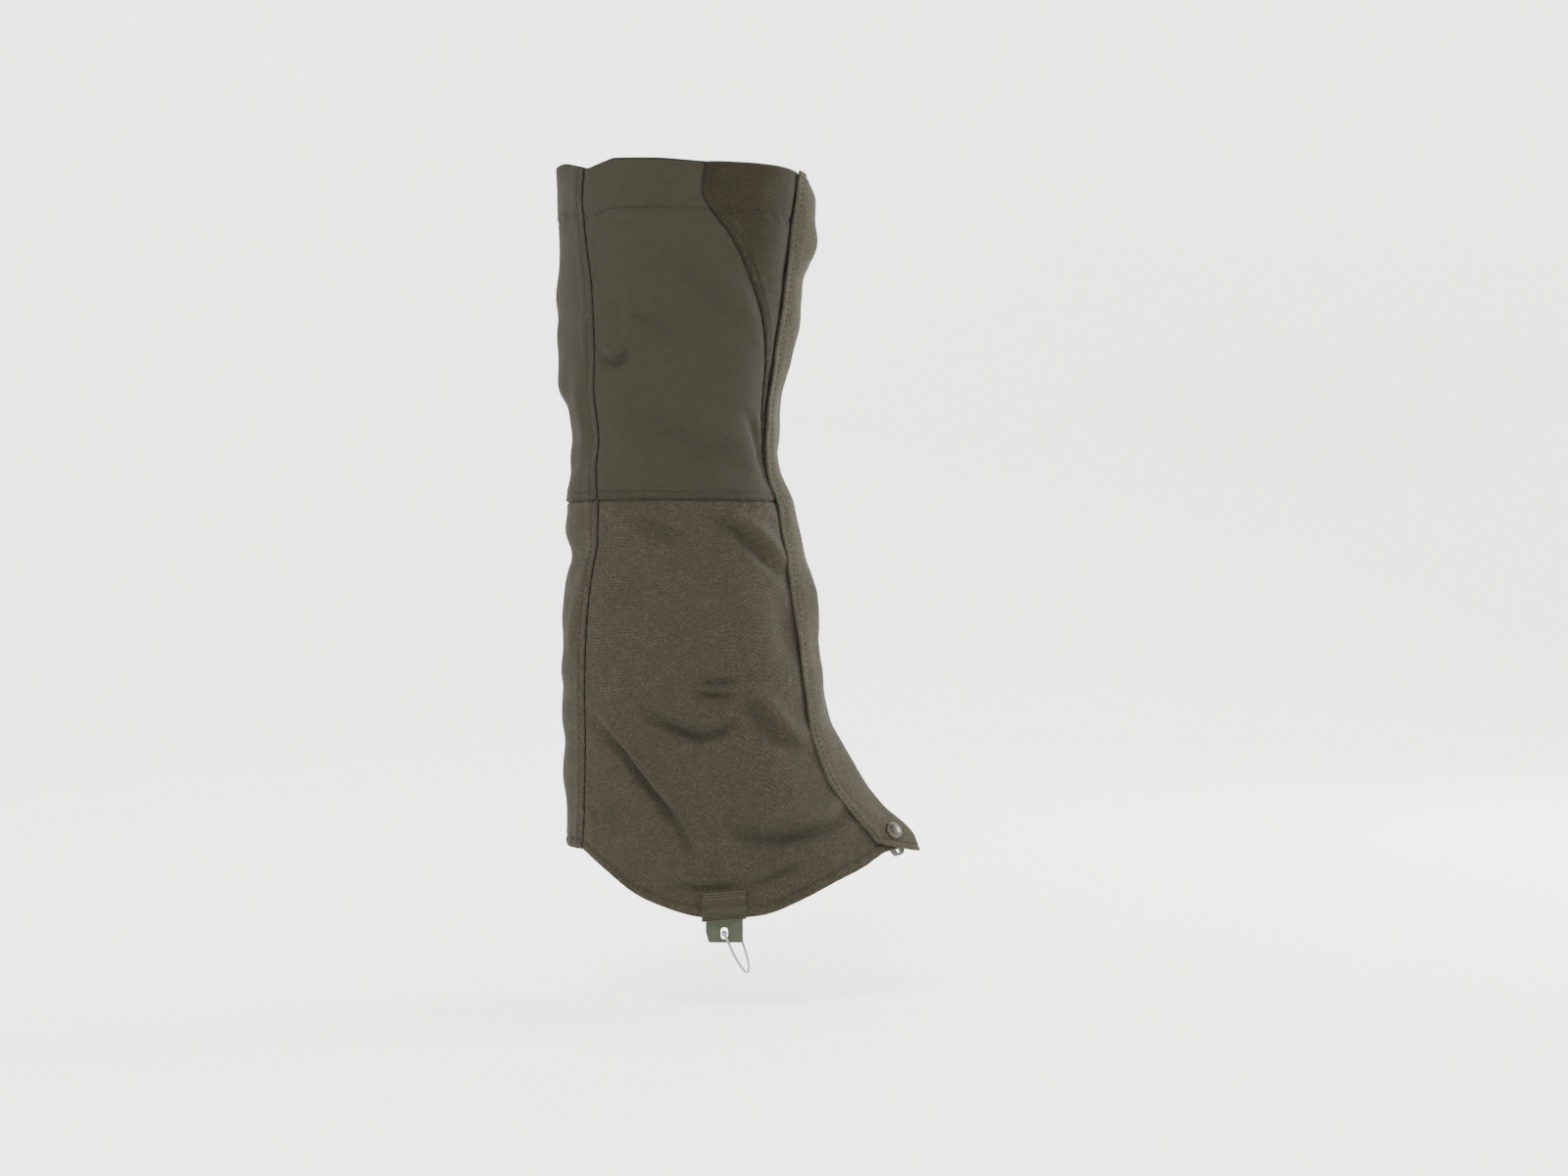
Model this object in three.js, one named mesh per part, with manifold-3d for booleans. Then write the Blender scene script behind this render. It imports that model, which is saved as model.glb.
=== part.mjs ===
// A knee-high hiking gaiter for the right leg, as it stands when worn over a boot.
// Millimetres. +X points to the toe, +Z up, +Y to the inner side of the leg.
// The origin lies midway between the two wire tabs, level with the lowest point of the hem.

import * as THREE from 'three';
import { mergeVertices } from 'three/addons/utils/BufferGeometryUtils.js';
import Module from 'manifold-3d';

const wasm = await Module();
wasm.setup();

// ---- Overall sizes ----
const RIM_HEIGHT = 422;
const SHELL_WIDTH = 122;
const DRAWN_HEIGHT = 422;
const DRAWN_WIDTH = 122;

// ---- Cloth and seams ----
const CLOTH = 1.2;
const SEAM_GAP = 0.45;
const PLY_GAP = 1.1;
const TOUCH_GAP = 0.3;
const WAIST = 234;
const TOP_TUNNEL = 27;
const HEM_FACING = 11;
const ELASTIC = 1;
const TOP_ELASTIC_WIDTH = 18;
const ANKLE_HEIGHT = 131;
const ANKLE_ELASTIC_WIDTH = 12;

// ---- Front closure: flap, hook and loop tapes, zip ----
const FLAP_EDGE = 20;
const FLAP_SEWN = 19;
const FLAP_SEWN_ROOM = 2.2;
const FLAP_TOP_INSET = 1;
const HOOK_TAPE = 0.6;
const HOOK_TAPE_GAP = 0.9;
const HOOK_TAPE_WIDTH = 10;
const HOOK_TAPE_INSET = 2;
const HOOK_TAPE_FROM = 64;
const HOOK_TAPE_TOP_INSET = 18;
const FLAP_EDGE_ROOM = 2 * (HOOK_TAPE + HOOK_TAPE_GAP) + 0.4;
const ZIP_CHANNEL = 5;
const ZIP_TAPE = 0.6;
const ZIP_TAPE_REACH = 15;
const ZIP_TAPE_FOOT = 40;
const COIL_WIDTH = 2.8;
const COIL_DEPTH = 2;
const COIL_SINK = 0.6;
const COIL_GAP = 0.4;
const COIL_FOOT = 54;
const COIL_TOP_INSET = 16;
const SLIDER_TOP_INSET = 22;
const SLIDER_LENGTH = 9;
const SLIDER_WIDTH = 8;
const SLIDER_PLATE = 1.4;
const CROWN_HEIGHT = 3;
const CROWN_WIDTH = 1.6;
const PULLER_LENGTH = 20;
const PULLER_WIDTH = 7.4;
const PULLER = 1.1;

// ---- Hem fittings: webbing, plastic tabs, wire, snap, lace hook ----
const WEBBING_WIDTH = 25;
const WEBBING = 1.3;
const WEBBING_TOP = 13.6;
const WEBBING_FOOT = -2;
const WEBBING_TILT = 0.07;
const TAB_WIDTH = 21;
const TAB = 2;
const TAB_TOP = 9;
const TAB_FOOT = -15.2;
const TAB_CHAMFER = 1.6;
const KEYHOLE_WIDTH = 4;
const KEYHOLE_HEIGHT = 6.8;
const WIRE_PIVOT_HEIGHT = -10;
const WIRE_DIAMETER = 1.5;
const BALL_DIAMETER = 3.2;
const WIRE_LEAN = THREE.MathUtils.degToRad(25);
const SNAP_SIDE = -11;
const SNAP_HEIGHT = 44;
const SNAP_DIAMETER = 10;
const HOOK_HEIGHT = 42;
const HOOK_STEEL = 0.8;
const HOOK_PATCH = 0.8;
const HOOK_WIDTH = 5;
const HOOK_SIDE = ZIP_CHANNEL + HOOK_WIDTH / 2 + 0.6;
const RIVET_DIAMETER = 3.2;

// ---- Outlines, each a list of [height, value] from the hem up ----
const BACK_LINE = [
  [36, -92], [70, -94.2], [125, -95.3], [166, -95.3], [193, -93], [220, -92.5], [248, -92],
  [268, -89], [292, -93], [309, -97], [337, -98.5], [378, -97], [422, -99],
];
const FRONT_LINE = [
  [0, 116], [20, 109.5], [32, 103.5], [43, 96.5], [56, 85], [70, 74.5], [84, 66], [97, 59], [111, 53], [125, 49],
  [152, 45.5], [179, 41], [207, 37], [231, 31], [252, 24.3], [268, 22.8], [285, 23.5],
  [300, 25.6], [345, 31.9], [405, 40.3], [422, 42.6],
];
const RIDGE_LINE = [
  [32, 113], [43, 107.5], [56, 93.5], [70, 82], [84, 73], [97, 66], [111, 60], [125, 57],
  [152, 53.5], [179, 53.5], [207, 45], [234, 38.6], [248, 33.5], [262, 30.5], [275, 31.2],
  [303, 34], [316, 37.5], [337, 42.6], [364, 45.5], [385, 52.3], [412, 51], [422, 46.5],
];
const HALF_WIDTH = [
  [0, 57], [35, 57], [70, 55.5], [131, 54], [180, 55], [230, 52], [265, 50], [320, 55],
  [380, 60], [422, 61],
];
const WIDEST_AT = [
  [0, 0], [35, -4], [70, -12], [125, -22], [180, -27], [265, -33], [345, -30.3], [422, -28],
];
// How sharp the front of a level section is: 1 is an ellipse, below it blunt, above it pointed.
const SHARPNESS = [
  [0, 1.5], [32, 1.65], [56, 1.75], [70, 1.85], [84, 1.7], [97, 1.5], [111, 1.24], [125, 1.02],
  [207, 1], [231, 0.76], [268, 0.67], [349, 0.68], [392, 0.8], [422, 0.8],
];
// Seams as angles round the section, in degrees from the centre front.
const BACK_SEAM = [
  [37, 152], [57, 148], [94, 144], [128, 142.5], [156, 140.5], [195, 137], [227, 132],
  [262, 134.5], [318, 130], [354, 132], [376, 136.5], [401, 139], [422, 137],
];
const INSERT_SEAM = [
  [234, 9.5], [262, 14], [292, 18.5], [314, 22], [335, 30.5], [354, 42.3], [367, 50.3],
  [382, 60], [391, 67.5], [404, 75.5], [422, 75],
];
// The hem's height by its place from heel to toe.
const HEM_LINE = [
  [-84, 37], [-64, 22], [-50, 12], [-33, 5], [-14, 0.4], [0, 0], [14, 0.4], [27, 2.5],
  [43, 9], [64, 19], [79, 25.5], [93, 33], [110, 33.5],
];
const BACK_HEM = 35.5;

// ---- Colours ----
const SMOOTH_CLOTH = cloth(0x514d42);
const COARSE_CLOTH = cloth(0x565246);
const LINING = cloth(0x45423a);
const TAPE = cloth(0x3b382e);
const WEBBING_YARN = cloth(0x4a4839);
const OLIVE_PLASTIC = new THREE.MeshStandardMaterial({ color: 0x6a6c5e, roughness: 0.45 });
const COIL_PLASTIC = new THREE.MeshStandardMaterial({ color: 0x33322b, roughness: 0.5 });
const STEEL = new THREE.MeshStandardMaterial({ color: 0xb9bbbd, roughness: 0.3, metalness: 1 });
const AGED_METAL = new THREE.MeshStandardMaterial({ color: 0x6b6a5e, roughness: 0.4, metalness: 1 });

function cloth(color) {
  return new THREE.MeshStandardMaterial({ color, roughness: 0.95 });
}

// ---- The shell's surface ----

// Reads a smooth curve through a list of [place, value] points.
function readLine(points, place) {
  const last = points.length - 1;
  const at = THREE.MathUtils.clamp(place, points[0][0], points[last][0]);
  let i = 0;
  while (i < last - 1 && points[i + 1][0] < at) i += 1;
  const [a, low] = points[i];
  const [b, high] = points[i + 1];
  const t = (at - a) / (b - a);
  const start = slopeAt(points, i) * (b - a);
  const end = slopeAt(points, i + 1) * (b - a);
  return (
    low * (1 + 2 * t) * (1 - t) ** 2 + start * t * (1 - t) ** 2
    + high * t * t * (3 - 2 * t) - end * t * t * (1 - t)
  );
}

function slopeAt(points, i) {
  const before = points[Math.max(i - 1, 0)];
  const after = points[Math.min(i + 1, points.length - 1)];
  return (after[1] - before[1]) / (after[0] - before[0]);
}

const stretch = RIM_HEIGHT / DRAWN_HEIGHT;
const spread = SHELL_WIDTH / DRAWN_WIDTH;
const atHeight = (line, z) => readLine(line, z / stretch);
const halfWidth = (z) => atHeight(HALF_WIDTH, z) * spread;

// A point on the shell: the angle runs from the centre front, positive on the outer side,
// and depth is how far the point lies inside the cloth's outer face.
function shellPoint(angle, z, depth) {
  const centre = atHeight(WIDEST_AT, z);
  const ahead = Math.cos(angle) > 0;
  const reach = ahead ? atHeight(FRONT_LINE, z) - centre : centre - atHeight(BACK_LINE, z);
  const power = ahead ? atHeight(SHARPNESS, z) : 1;
  const side = Math.abs(Math.sin(angle)) ** power * Math.sign(Math.sin(angle));
  return [centre + (reach - depth) * Math.cos(angle), -(halfWidth(z) - depth) * side, z];
}

// The angle at which the front of the shell is a given distance from the centre line.
function angleAtSide(side, z) {
  return Math.asin((side / halfWidth(z)) ** (1 / atHeight(SHARPNESS, z)));
}

function angleAtPlace(x, z) {
  const centre = atHeight(WIDEST_AT, z);
  const end = x > centre ? atHeight(FRONT_LINE, z) : atHeight(BACK_LINE, z);
  return Math.acos(THREE.MathUtils.clamp((x - centre) / Math.abs(end - centre), -1, 1));
}

// How far forward the front of the shell is at a distance from the centre line.
function frontPlace(y, z) {
  return shellPoint(angleAtSide(Math.abs(y), z), z, 0)[0];
}

// How far the flap's outer face stands in front of the shell.
function flapLift(y, z) {
  const ridge = atHeight(RIDGE_LINE, z) - atHeight(FRONT_LINE, z);
  const width = y < 0 ? FLAP_EDGE : FLAP_SEWN;
  const edge = CLOTH + (y < 0 ? FLAP_EDGE_ROOM : FLAP_SEWN_ROOM);
  return edge + (ridge - edge) * Math.sin((1 - Math.abs(y) / width) * Math.PI / 2);
}

const backSeam = (z) => THREE.MathUtils.degToRad(atHeight(BACK_SEAM, z));
const insertSeam = (z) => THREE.MathUtils.degToRad(atHeight(INSERT_SEAM, z));
const seamHalf = SEAM_GAP / halfWidth(WAIST) / 2;

// ---- Building blocks ----

// Wraps a flat sheet over a surface: place(u, v, w) has u along, v up and w from its
// inner to its outer face.
function wrap(columns, rows, place) {
  const sheet = new THREE.BoxGeometry(1, 1, 1, columns, rows, 1);
  const at = sheet.attributes.position;
  for (let i = 0; i < at.count; i += 1) {
    at.setXYZ(i, ...place(at.getX(i) + 0.5, at.getY(i) + 0.5, at.getZ(i) + 0.5));
  }
  return bare(sheet);
}

// Keeps only positions and joins the vertices that coincide.
function bare(geometry) {
  geometry.deleteAttribute('normal');
  geometry.deleteAttribute('uv');
  return mergeVertices(geometry, 1e-5);
}

// The same piece on the other side of the leg.
function mirrored(geometry) {
  const copy = geometry.clone().scale(1, -1, 1);
  const order = copy.index.array;
  for (let i = 0; i < order.length; i += 3) {
    [order[i], order[i + 1]] = [order[i + 1], order[i]];
  }
  return copy;
}

function solid(geometry) {
  const piece = bare(geometry.clone());
  return new wasm.Manifold(new wasm.Mesh({
    numProp: 3,
    vertProperties: new Float32Array(piece.attributes.position.array),
    triVerts: new Uint32Array(piece.index.array),
  }));
}

function fromSolid(result) {
  const mesh = result.getMesh();
  const geometry = new THREE.BufferGeometry();
  geometry.setAttribute('position', new THREE.BufferAttribute(mesh.vertProperties, 3));
  geometry.setIndex(new THREE.BufferAttribute(mesh.triVerts, 1));
  return geometry;
}

function joined(first, ...others) {
  return fromSolid(others.reduce((sum, next) => sum.add(solid(next)), solid(first)));
}

function box(x, y, z, centre) {
  return new THREE.BoxGeometry(x, y, z).translate(...centre);
}

function rounded(points) {
  return new THREE.LatheGeometry(points.map(([r, h]) => new THREE.Vector2(r, h)), 20)
    .rotateX(Math.PI / 2);
}

const gaiter = new THREE.Group();

function add(name, geometry, material, holder = gaiter) {
  const mesh = new THREE.Mesh(geometry, material.clone());
  mesh.name = name;
  holder.add(mesh);
  return mesh;
}

// A group whose local Z is a surface's outward normal, with local Y up along the surface.
function seat(pointAt, y, z) {
  const step = 0.5;
  const at = new THREE.Vector3(...pointAt(y, z));
  const across = new THREE.Vector3(...pointAt(y + step, z)).sub(at);
  const up = new THREE.Vector3(...pointAt(y, z + step)).sub(at);
  const normal = across.clone().cross(up).normalize();
  const side = up.clone().cross(normal).normalize();
  const group = new THREE.Group();
  const turn = new THREE.Matrix4().makeBasis(side, normal.clone().cross(side), normal);
  group.applyMatrix4(turn.setPosition(at));
  gaiter.add(group);
  return group;
}

// ---- Shell panels ----

// A cloth panel between two seams. Rear and front give the seams' angles at a height,
// and foot gives the bottom edge's height at a place from heel to toe.
function panel({ columns, rows, rear, front, foot, top, depth = 0, thickness = CLOTH }) {
  return wrap(columns, rows, (u, v, w) => {
    let z = top;
    let angle = 0;
    for (let pass = 0; pass < 6; pass += 1) {
      angle = THREE.MathUtils.lerp(rear(z), front(z), u);
      z = THREE.MathUtils.lerp(foot(shellPoint(angle, z, 0)[0]), top, v);
    }
    return shellPoint(angle, z, depth + (1 - w) * thickness);
  });
}

const hemFoot = (x) => readLine(HEM_LINE, x);
const backHemFoot = () => BACK_HEM;
const aboveWaist = () => WAIST + SEAM_GAP / 2;
const channelEdge = (z) => angleAtSide(ZIP_CHANNEL, z);
const beforeBackSeam = (z) => backSeam(z) - seamHalf;
const behindBackSeam = (z) => backSeam(z) + seamHalf;

function addShell() {
  const upper = { rows: 12, foot: aboveWaist, top: RIM_HEIGHT };
  const lower = { rows: 14, foot: hemFoot, top: WAIST - SEAM_GAP / 2 };
  const side = panel({
    ...upper, columns: 9, rear: beforeBackSeam, front: (z) => insertSeam(z) + seamHalf,
  });
  const insert = panel({
    ...upper, columns: 5, rear: (z) => insertSeam(z) - seamHalf, front: channelEdge,
  });
  const leg = panel({ ...lower, columns: 13, rear: beforeBackSeam, front: channelEdge });
  const roundBack = { columns: 8, rear: (z) => 2 * Math.PI - behindBackSeam(z), front: behindBackSeam };
  add('outer_upper_panel', side, SMOOTH_CLOTH);
  add('inner_upper_panel', mirrored(side), SMOOTH_CLOTH);
  add('outer_front_insert', insert, COARSE_CLOTH);
  add('inner_front_insert', mirrored(insert), COARSE_CLOTH);
  add('outer_lower_panel', leg, COARSE_CLOTH);
  add('inner_lower_panel', mirrored(leg), COARSE_CLOTH);
  add('back_upper_panel', panel({ ...upper, ...roundBack }), SMOOTH_CLOTH);
  add('back_lower_panel', panel({ ...lower, ...roundBack, foot: backHemFoot }), COARSE_CLOTH);
}

// A band inside the shell that runs round the leg from one zip tape to the other.
function band(foot, top, depth, thickness) {
  const edge = (z) => angleAtSide(ZIP_TAPE_REACH + 1.5, z);
  return panel({
    columns: 32, rows: 1, rear: (z) => 2 * Math.PI - edge(z), front: edge,
    foot: () => foot, top, depth, thickness,
  });
}

function addLinings() {
  const inside = CLOTH + PLY_GAP;
  const tunnelFoot = RIM_HEIGHT - TOP_TUNNEL;
  const elasticFoot = tunnelFoot + (TOP_TUNNEL - TOP_ELASTIC_WIDTH) / 2;
  const ankleFoot = ANKLE_HEIGHT - ANKLE_ELASTIC_WIDTH / 2;
  add('top_elastic', band(elasticFoot, elasticFoot + TOP_ELASTIC_WIDTH, inside, ELASTIC), TAPE);
  add('top_hem_facing', band(tunnelFoot, RIM_HEIGHT - 0.5, inside + ELASTIC + PLY_GAP, CLOTH), LINING);
  add('ankle_elastic', band(ankleFoot, ankleFoot + ANKLE_ELASTIC_WIDTH, inside, ELASTIC), TAPE);
  const sideFacing = hemFacing(hemFoot, beforeBackSeam, (z) => angleAtSide(ZIP_TAPE_REACH + 1.5, z), 22);
  add('outer_hem_facing', sideFacing, LINING);
  add('inner_hem_facing', mirrored(sideFacing), LINING);
  const backEdge = (z) => behindBackSeam(z);
  add('back_hem_facing', hemFacing(backHemFoot, (z) => 2 * Math.PI - backEdge(z), backEdge, 10), LINING);
}

// The turned-up hem: a strip that follows the bottom edge inside the cloth.
function hemFacing(foot, rear, front, columns) {
  return wrap(columns, 1, (u, v, w) => {
    let z = BACK_HEM;
    let angle = 0;
    for (let pass = 0; pass < 6; pass += 1) {
      angle = THREE.MathUtils.lerp(rear(z), front(z), u);
      z = foot(shellPoint(angle, z, 0)[0]) + 0.5 + v * HEM_FACING;
    }
    return shellPoint(angle, z, CLOTH + PLY_GAP + (1 - w) * CLOTH);
  });
}

// ---- Front flap and its tapes ----

const flapFoot = (y) => 32 + 6 * (Math.abs(y) / FLAP_EDGE) ** 1.5;
const flapPoint = (y, z) => [frontPlace(y, z) + flapLift(y, z), y, z];

// A strip on the front, from one distance off the centre line to another. Behind gives
// how far its outer face lies behind or in front of the shell's outer face.
function frontStrip({ columns, rows, from, to, foot, top, ahead, thickness }) {
  return wrap(columns, rows, (u, v, w) => {
    const y = THREE.MathUtils.lerp(from, to, u);
    const z = THREE.MathUtils.lerp(foot(y), top, v);
    return [frontPlace(y, z) + ahead(y, z) - (1 - w) * thickness, y, z];
  });
}

function addFlap() {
  const flapTop = RIM_HEIGHT - FLAP_TOP_INSET;
  add('front_flap', frontStrip({
    columns: 10, rows: 26, from: -FLAP_EDGE, to: FLAP_SEWN, foot: flapFoot, top: flapTop,
    ahead: flapLift, thickness: CLOTH,
  }), COARSE_CLOTH);
  const tape = {
    columns: 2, rows: 20, from: -FLAP_EDGE + HOOK_TAPE_INSET,
    to: -FLAP_EDGE + HOOK_TAPE_INSET + HOOK_TAPE_WIDTH,
    foot: () => HOOK_TAPE_FROM, top: flapTop - HOOK_TAPE_TOP_INSET, thickness: HOOK_TAPE,
  };
  const underFlap = (y, z) => flapLift(y, z) - CLOTH - HOOK_TAPE_GAP;
  add('flap_hook_tape', frontStrip({ ...tape, ahead: underFlap }), TAPE);
  add('panel_loop_tape', frontStrip({ ...tape, ahead: () => HOOK_TAPE_GAP + HOOK_TAPE }), TAPE);
}

// ---- Zip ----

const coilTop = RIM_HEIGHT - COIL_TOP_INSET;

function addZip() {
  const innerEdge = COIL_GAP / 2;
  const tapeEdge = innerEdge + COIL_WIDTH + TOUCH_GAP;
  const tape = frontStrip({
    columns: 2, rows: 26, from: -ZIP_TAPE_REACH, to: -tapeEdge,
    foot: () => ZIP_TAPE_FOOT, top: RIM_HEIGHT - 7,
    ahead: () => -CLOTH - PLY_GAP, thickness: ZIP_TAPE,
  });
  const coil = frontStrip({
    columns: 1, rows: 28, from: -innerEdge - COIL_WIDTH, to: -innerEdge,
    foot: () => COIL_FOOT, top: coilTop, ahead: () => -COIL_SINK, thickness: COIL_DEPTH,
  });
  const stop = frontStrip({
    columns: 1, rows: 1, from: -innerEdge - COIL_WIDTH, to: -innerEdge,
    foot: () => coilTop + TOUCH_GAP, top: coilTop + 3,
    ahead: () => 0.2, thickness: COIL_DEPTH + 1,
  });
  add('zip_tape_outer', tape, TAPE);
  add('zip_tape_inner', mirrored(tape), TAPE);
  add('zip_coil_outer', coil, COIL_PLASTIC);
  add('zip_coil_inner', mirrored(coil), COIL_PLASTIC);
  add('zip_top_stop_outer', stop, AGED_METAL);
  add('zip_top_stop_inner', mirrored(stop), AGED_METAL);
  add('zip_bottom_stop', frontStrip({
    columns: 2, rows: 1, from: -innerEdge - COIL_WIDTH, to: innerEdge + COIL_WIDTH,
    foot: () => COIL_FOOT - 4, top: COIL_FOOT - TOUCH_GAP,
    ahead: () => 0.2, thickness: COIL_DEPTH + 1,
  }), AGED_METAL);
  addSlider();
}

// The slider rides on the coils' front, so only its front plate and crown are solid.
function addSlider() {
  const height = RIM_HEIGHT - SLIDER_TOP_INSET;
  const slider = seat((y, z) => [atHeight(FRONT_LINE, z), y, z], 0, height);
  slider.name = 'slider_seat';
  const plateBack = TOUCH_GAP - COIL_SINK;
  const plateFront = plateBack + SLIDER_PLATE;
  const plate = new THREE.Shape();
  plate.moveTo(-SLIDER_WIDTH / 2, SLIDER_LENGTH / 2);
  plate.lineTo(-SLIDER_WIDTH / 2 + 1, -SLIDER_LENGTH / 2);
  plate.lineTo(SLIDER_WIDTH / 2 - 1, -SLIDER_LENGTH / 2);
  plate.lineTo(SLIDER_WIDTH / 2, SLIDER_LENGTH / 2);
  const base = new THREE.ExtrudeGeometry(plate, { depth: SLIDER_PLATE, bevelEnabled: false })
    .translate(0, 0, plateBack);
  const post = CROWN_HEIGHT + 0.4;
  const legUp = box(CROWN_WIDTH, 1.4, post, [0, 3, plateFront + post / 2 - 0.4]);
  const legDown = box(CROWN_WIDTH, 1.4, post, [0, -3, plateFront + post / 2 - 0.4]);
  const bridge = box(CROWN_WIDTH, 7.4, 1, [0, 0, plateFront + CROWN_HEIGHT + 0.4]);
  add('zip_slider', joined(base, legUp, legDown, bridge), AGED_METAL, slider);
  add('zip_puller', pullerPlate().translate(0, 0, plateFront + 0.5), AGED_METAL, slider);
}

// A flat pull with an eye round the crown's lower leg.
function pullerPlate() {
  const outline = new THREE.Shape();
  const half = PULLER_WIDTH / 2;
  outline.moveTo(-half + 0.8, 1.6);
  outline.lineTo(-half, 0.8);
  outline.lineTo(-half, -6.4);
  outline.lineTo(-half + 1.2, -PULLER_LENGTH + 2);
  outline.lineTo(-half + 2.2, -PULLER_LENGTH + 1);
  outline.lineTo(half - 2.2, -PULLER_LENGTH + 1);
  outline.lineTo(half - 1.2, -PULLER_LENGTH + 2);
  outline.lineTo(half, -6.4);
  outline.lineTo(half, 0.8);
  outline.lineTo(half - 0.8, 1.6);
  const eye = new THREE.Path();
  eye.moveTo(-2.3, -0.6);
  eye.lineTo(2.3, -0.6);
  eye.lineTo(2.3, -5.2);
  eye.lineTo(-2.3, -5.2);
  outline.holes.push(eye);
  return new THREE.ExtrudeGeometry(outline, { depth: PULLER, bevelEnabled: false });
}

// ---- Webbing, plastic tabs and the wire under the boot ----

// The front ply of webbing, which lies along the shell at the lowest part of the hem.
function webbingFront() {
  return wrap(8, 5, (u, v, w) => {
    const x = (u - 0.5) * WEBBING_WIDTH;
    const z = THREE.MathUtils.lerp(WEBBING_FOOT, WEBBING_TOP, v) + x * WEBBING_TILT;
    return shellPoint(angleAtPlace(x, z), z, -TOUCH_GAP - w * WEBBING);
  });
}

const tabDepth = 2 * (CLOTH + PLY_GAP);
const tabFace = halfWidth(0) - tabDepth;

// The back ply of webbing, which the tab keeps flat against the boot.
function webbingBack() {
  const half = WEBBING_WIDTH / 2;
  const rise = half * WEBBING_TILT;
  const outline = new THREE.Shape();
  outline.moveTo(-half, WEBBING_FOOT - rise);
  outline.lineTo(half, WEBBING_FOOT + rise);
  outline.lineTo(half, WEBBING_TOP + rise);
  outline.lineTo(-half, WEBBING_TOP - rise);
  const ply = new THREE.ExtrudeGeometry(outline, { depth: WEBBING, bevelEnabled: false });
  const face = tabFace - TAB - TOUCH_GAP;
  return bare(ply.rotateX(Math.PI / 2).translate(0, WEBBING - face, 0));
}

// The plastic tab, drawn from the outer side with its wire hole.
function wireTab() {
  const half = TAB_WIDTH / 2;
  const outline = new THREE.Shape();
  outline.moveTo(-half, TAB_TOP);
  outline.lineTo(-half, TAB_FOOT + 6);
  outline.lineTo(-half + TAB_CHAMFER, TAB_FOOT);
  outline.lineTo(half - 0.6, TAB_FOOT);
  outline.lineTo(half, TAB_FOOT + 0.6);
  outline.lineTo(half, TAB_TOP);
  const hole = new THREE.Path();
  const r = KEYHOLE_WIDTH / 2;
  const reach = KEYHOLE_HEIGHT / 2 - r;
  hole.absarc(0, WIRE_PIVOT_HEIGHT + reach, r, 0, Math.PI, false);
  hole.absarc(0, WIRE_PIVOT_HEIGHT - reach, r, Math.PI, 2 * Math.PI, false);
  outline.holes.push(hole);
  const plate = new THREE.ExtrudeGeometry(outline, { depth: TAB, bevelEnabled: false, curveSegments: 8 });
  return bare(plate.rotateX(Math.PI / 2).translate(0, TAB - tabFace, 0));
}

// The wire's half route as [distance from the pivot line, side from the centre]: it runs
// down the tab's face, turns in under the tab and passes below the boot's waist.
function wireRoute() {
  const face = tabFace + TOUCH_GAP + WIRE_DIAMETER / 2;
  const half = [
    [2, face], [6, face], [11, face], [14.5, face - 0.8], [18, face - 4], [22, face - 10],
    [25.3, face - 17.5], [28, face - 26], [29.8, face - 36], [30.6, face - 46],
  ];
  const whole = [...half, ...half.map(([r, y]) => [r, -y]).reverse()];
  return whole.map(([r, y]) => new THREE.Vector3(
    r * Math.sin(WIRE_LEAN), -y, WIRE_PIVOT_HEIGHT - r * Math.cos(WIRE_LEAN),
  ));
}

function addFootLoop() {
  const frontPly = webbingFront();
  const backPly = webbingBack();
  const tab = wireTab();
  add('outer_webbing_front', frontPly, WEBBING_YARN);
  add('inner_webbing_front', mirrored(frontPly), WEBBING_YARN);
  add('outer_webbing_back', backPly, WEBBING_YARN);
  add('inner_webbing_back', mirrored(backPly), WEBBING_YARN);
  add('outer_wire_tab', tab, OLIVE_PLASTIC);
  add('inner_wire_tab', mirrored(tab), OLIVE_PLASTIC);
  const round = new THREE.Shape();
  round.absarc(0, 0, WIRE_DIAMETER / 2, 0, 2 * Math.PI, false);
  add('underfoot_wire', bare(new THREE.ExtrudeGeometry(round, {
    extrudePath: new THREE.CatmullRomCurve3(wireRoute()), steps: 48, curveSegments: 4,
  })), STEEL);
  for (const [name, side] of [['outer_wire_ball', -1], ['inner_wire_ball', 1]]) {
    const ball = add(name, new THREE.SphereGeometry(BALL_DIAMETER / 2, 14, 10), STEEL);
    ball.position.set(0, side * tabFace, WIRE_PIVOT_HEIGHT);
  }
}

// ---- Snap and lace hook ----

function addSnap() {
  const flapSeat = seat(flapPoint, SNAP_SIDE, SNAP_HEIGHT);
  const shellSeat = seat((y, z) => [frontPlace(y, z), y, z], SNAP_SIDE, SNAP_HEIGHT);
  const r = SNAP_DIAMETER / 2;
  add('snap_cap', rounded([
    [0, 0.3], [r - 0.6, 0.3], [r, 0.8], [r - 0.3, 1.4], [r - 1.4, 1.9], [r - 3, 2.1], [0, 2.1],
  ]), AGED_METAL, flapSeat);
  const socketTop = -CLOTH - 0.9;
  add('snap_socket', rounded([
    [0, socketTop - 0.7], [r - 1.7, socketTop - 0.7], [r - 1.4, socketTop - 0.4],
    [r - 1.4, socketTop], [0, socketTop],
  ]), AGED_METAL, flapSeat);
  add('snap_stud', rounded([
    [0, 0.3], [r - 1.2, 0.3], [r - 1.2, 0.7], [r - 3, 0.8], [r - 3, 1.3], [0, 1.3],
  ]), AGED_METAL, shellSeat);
  const postTop = -CLOTH - PLY_GAP - ZIP_TAPE - 0.4;
  add('snap_post', rounded([
    [0, postTop - 0.8], [r - 1.7, postTop - 0.8], [r - 1.4, postTop - 0.4],
    [r - 1.4, postTop], [0, postTop],
  ]), AGED_METAL, shellSeat);
}

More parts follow.
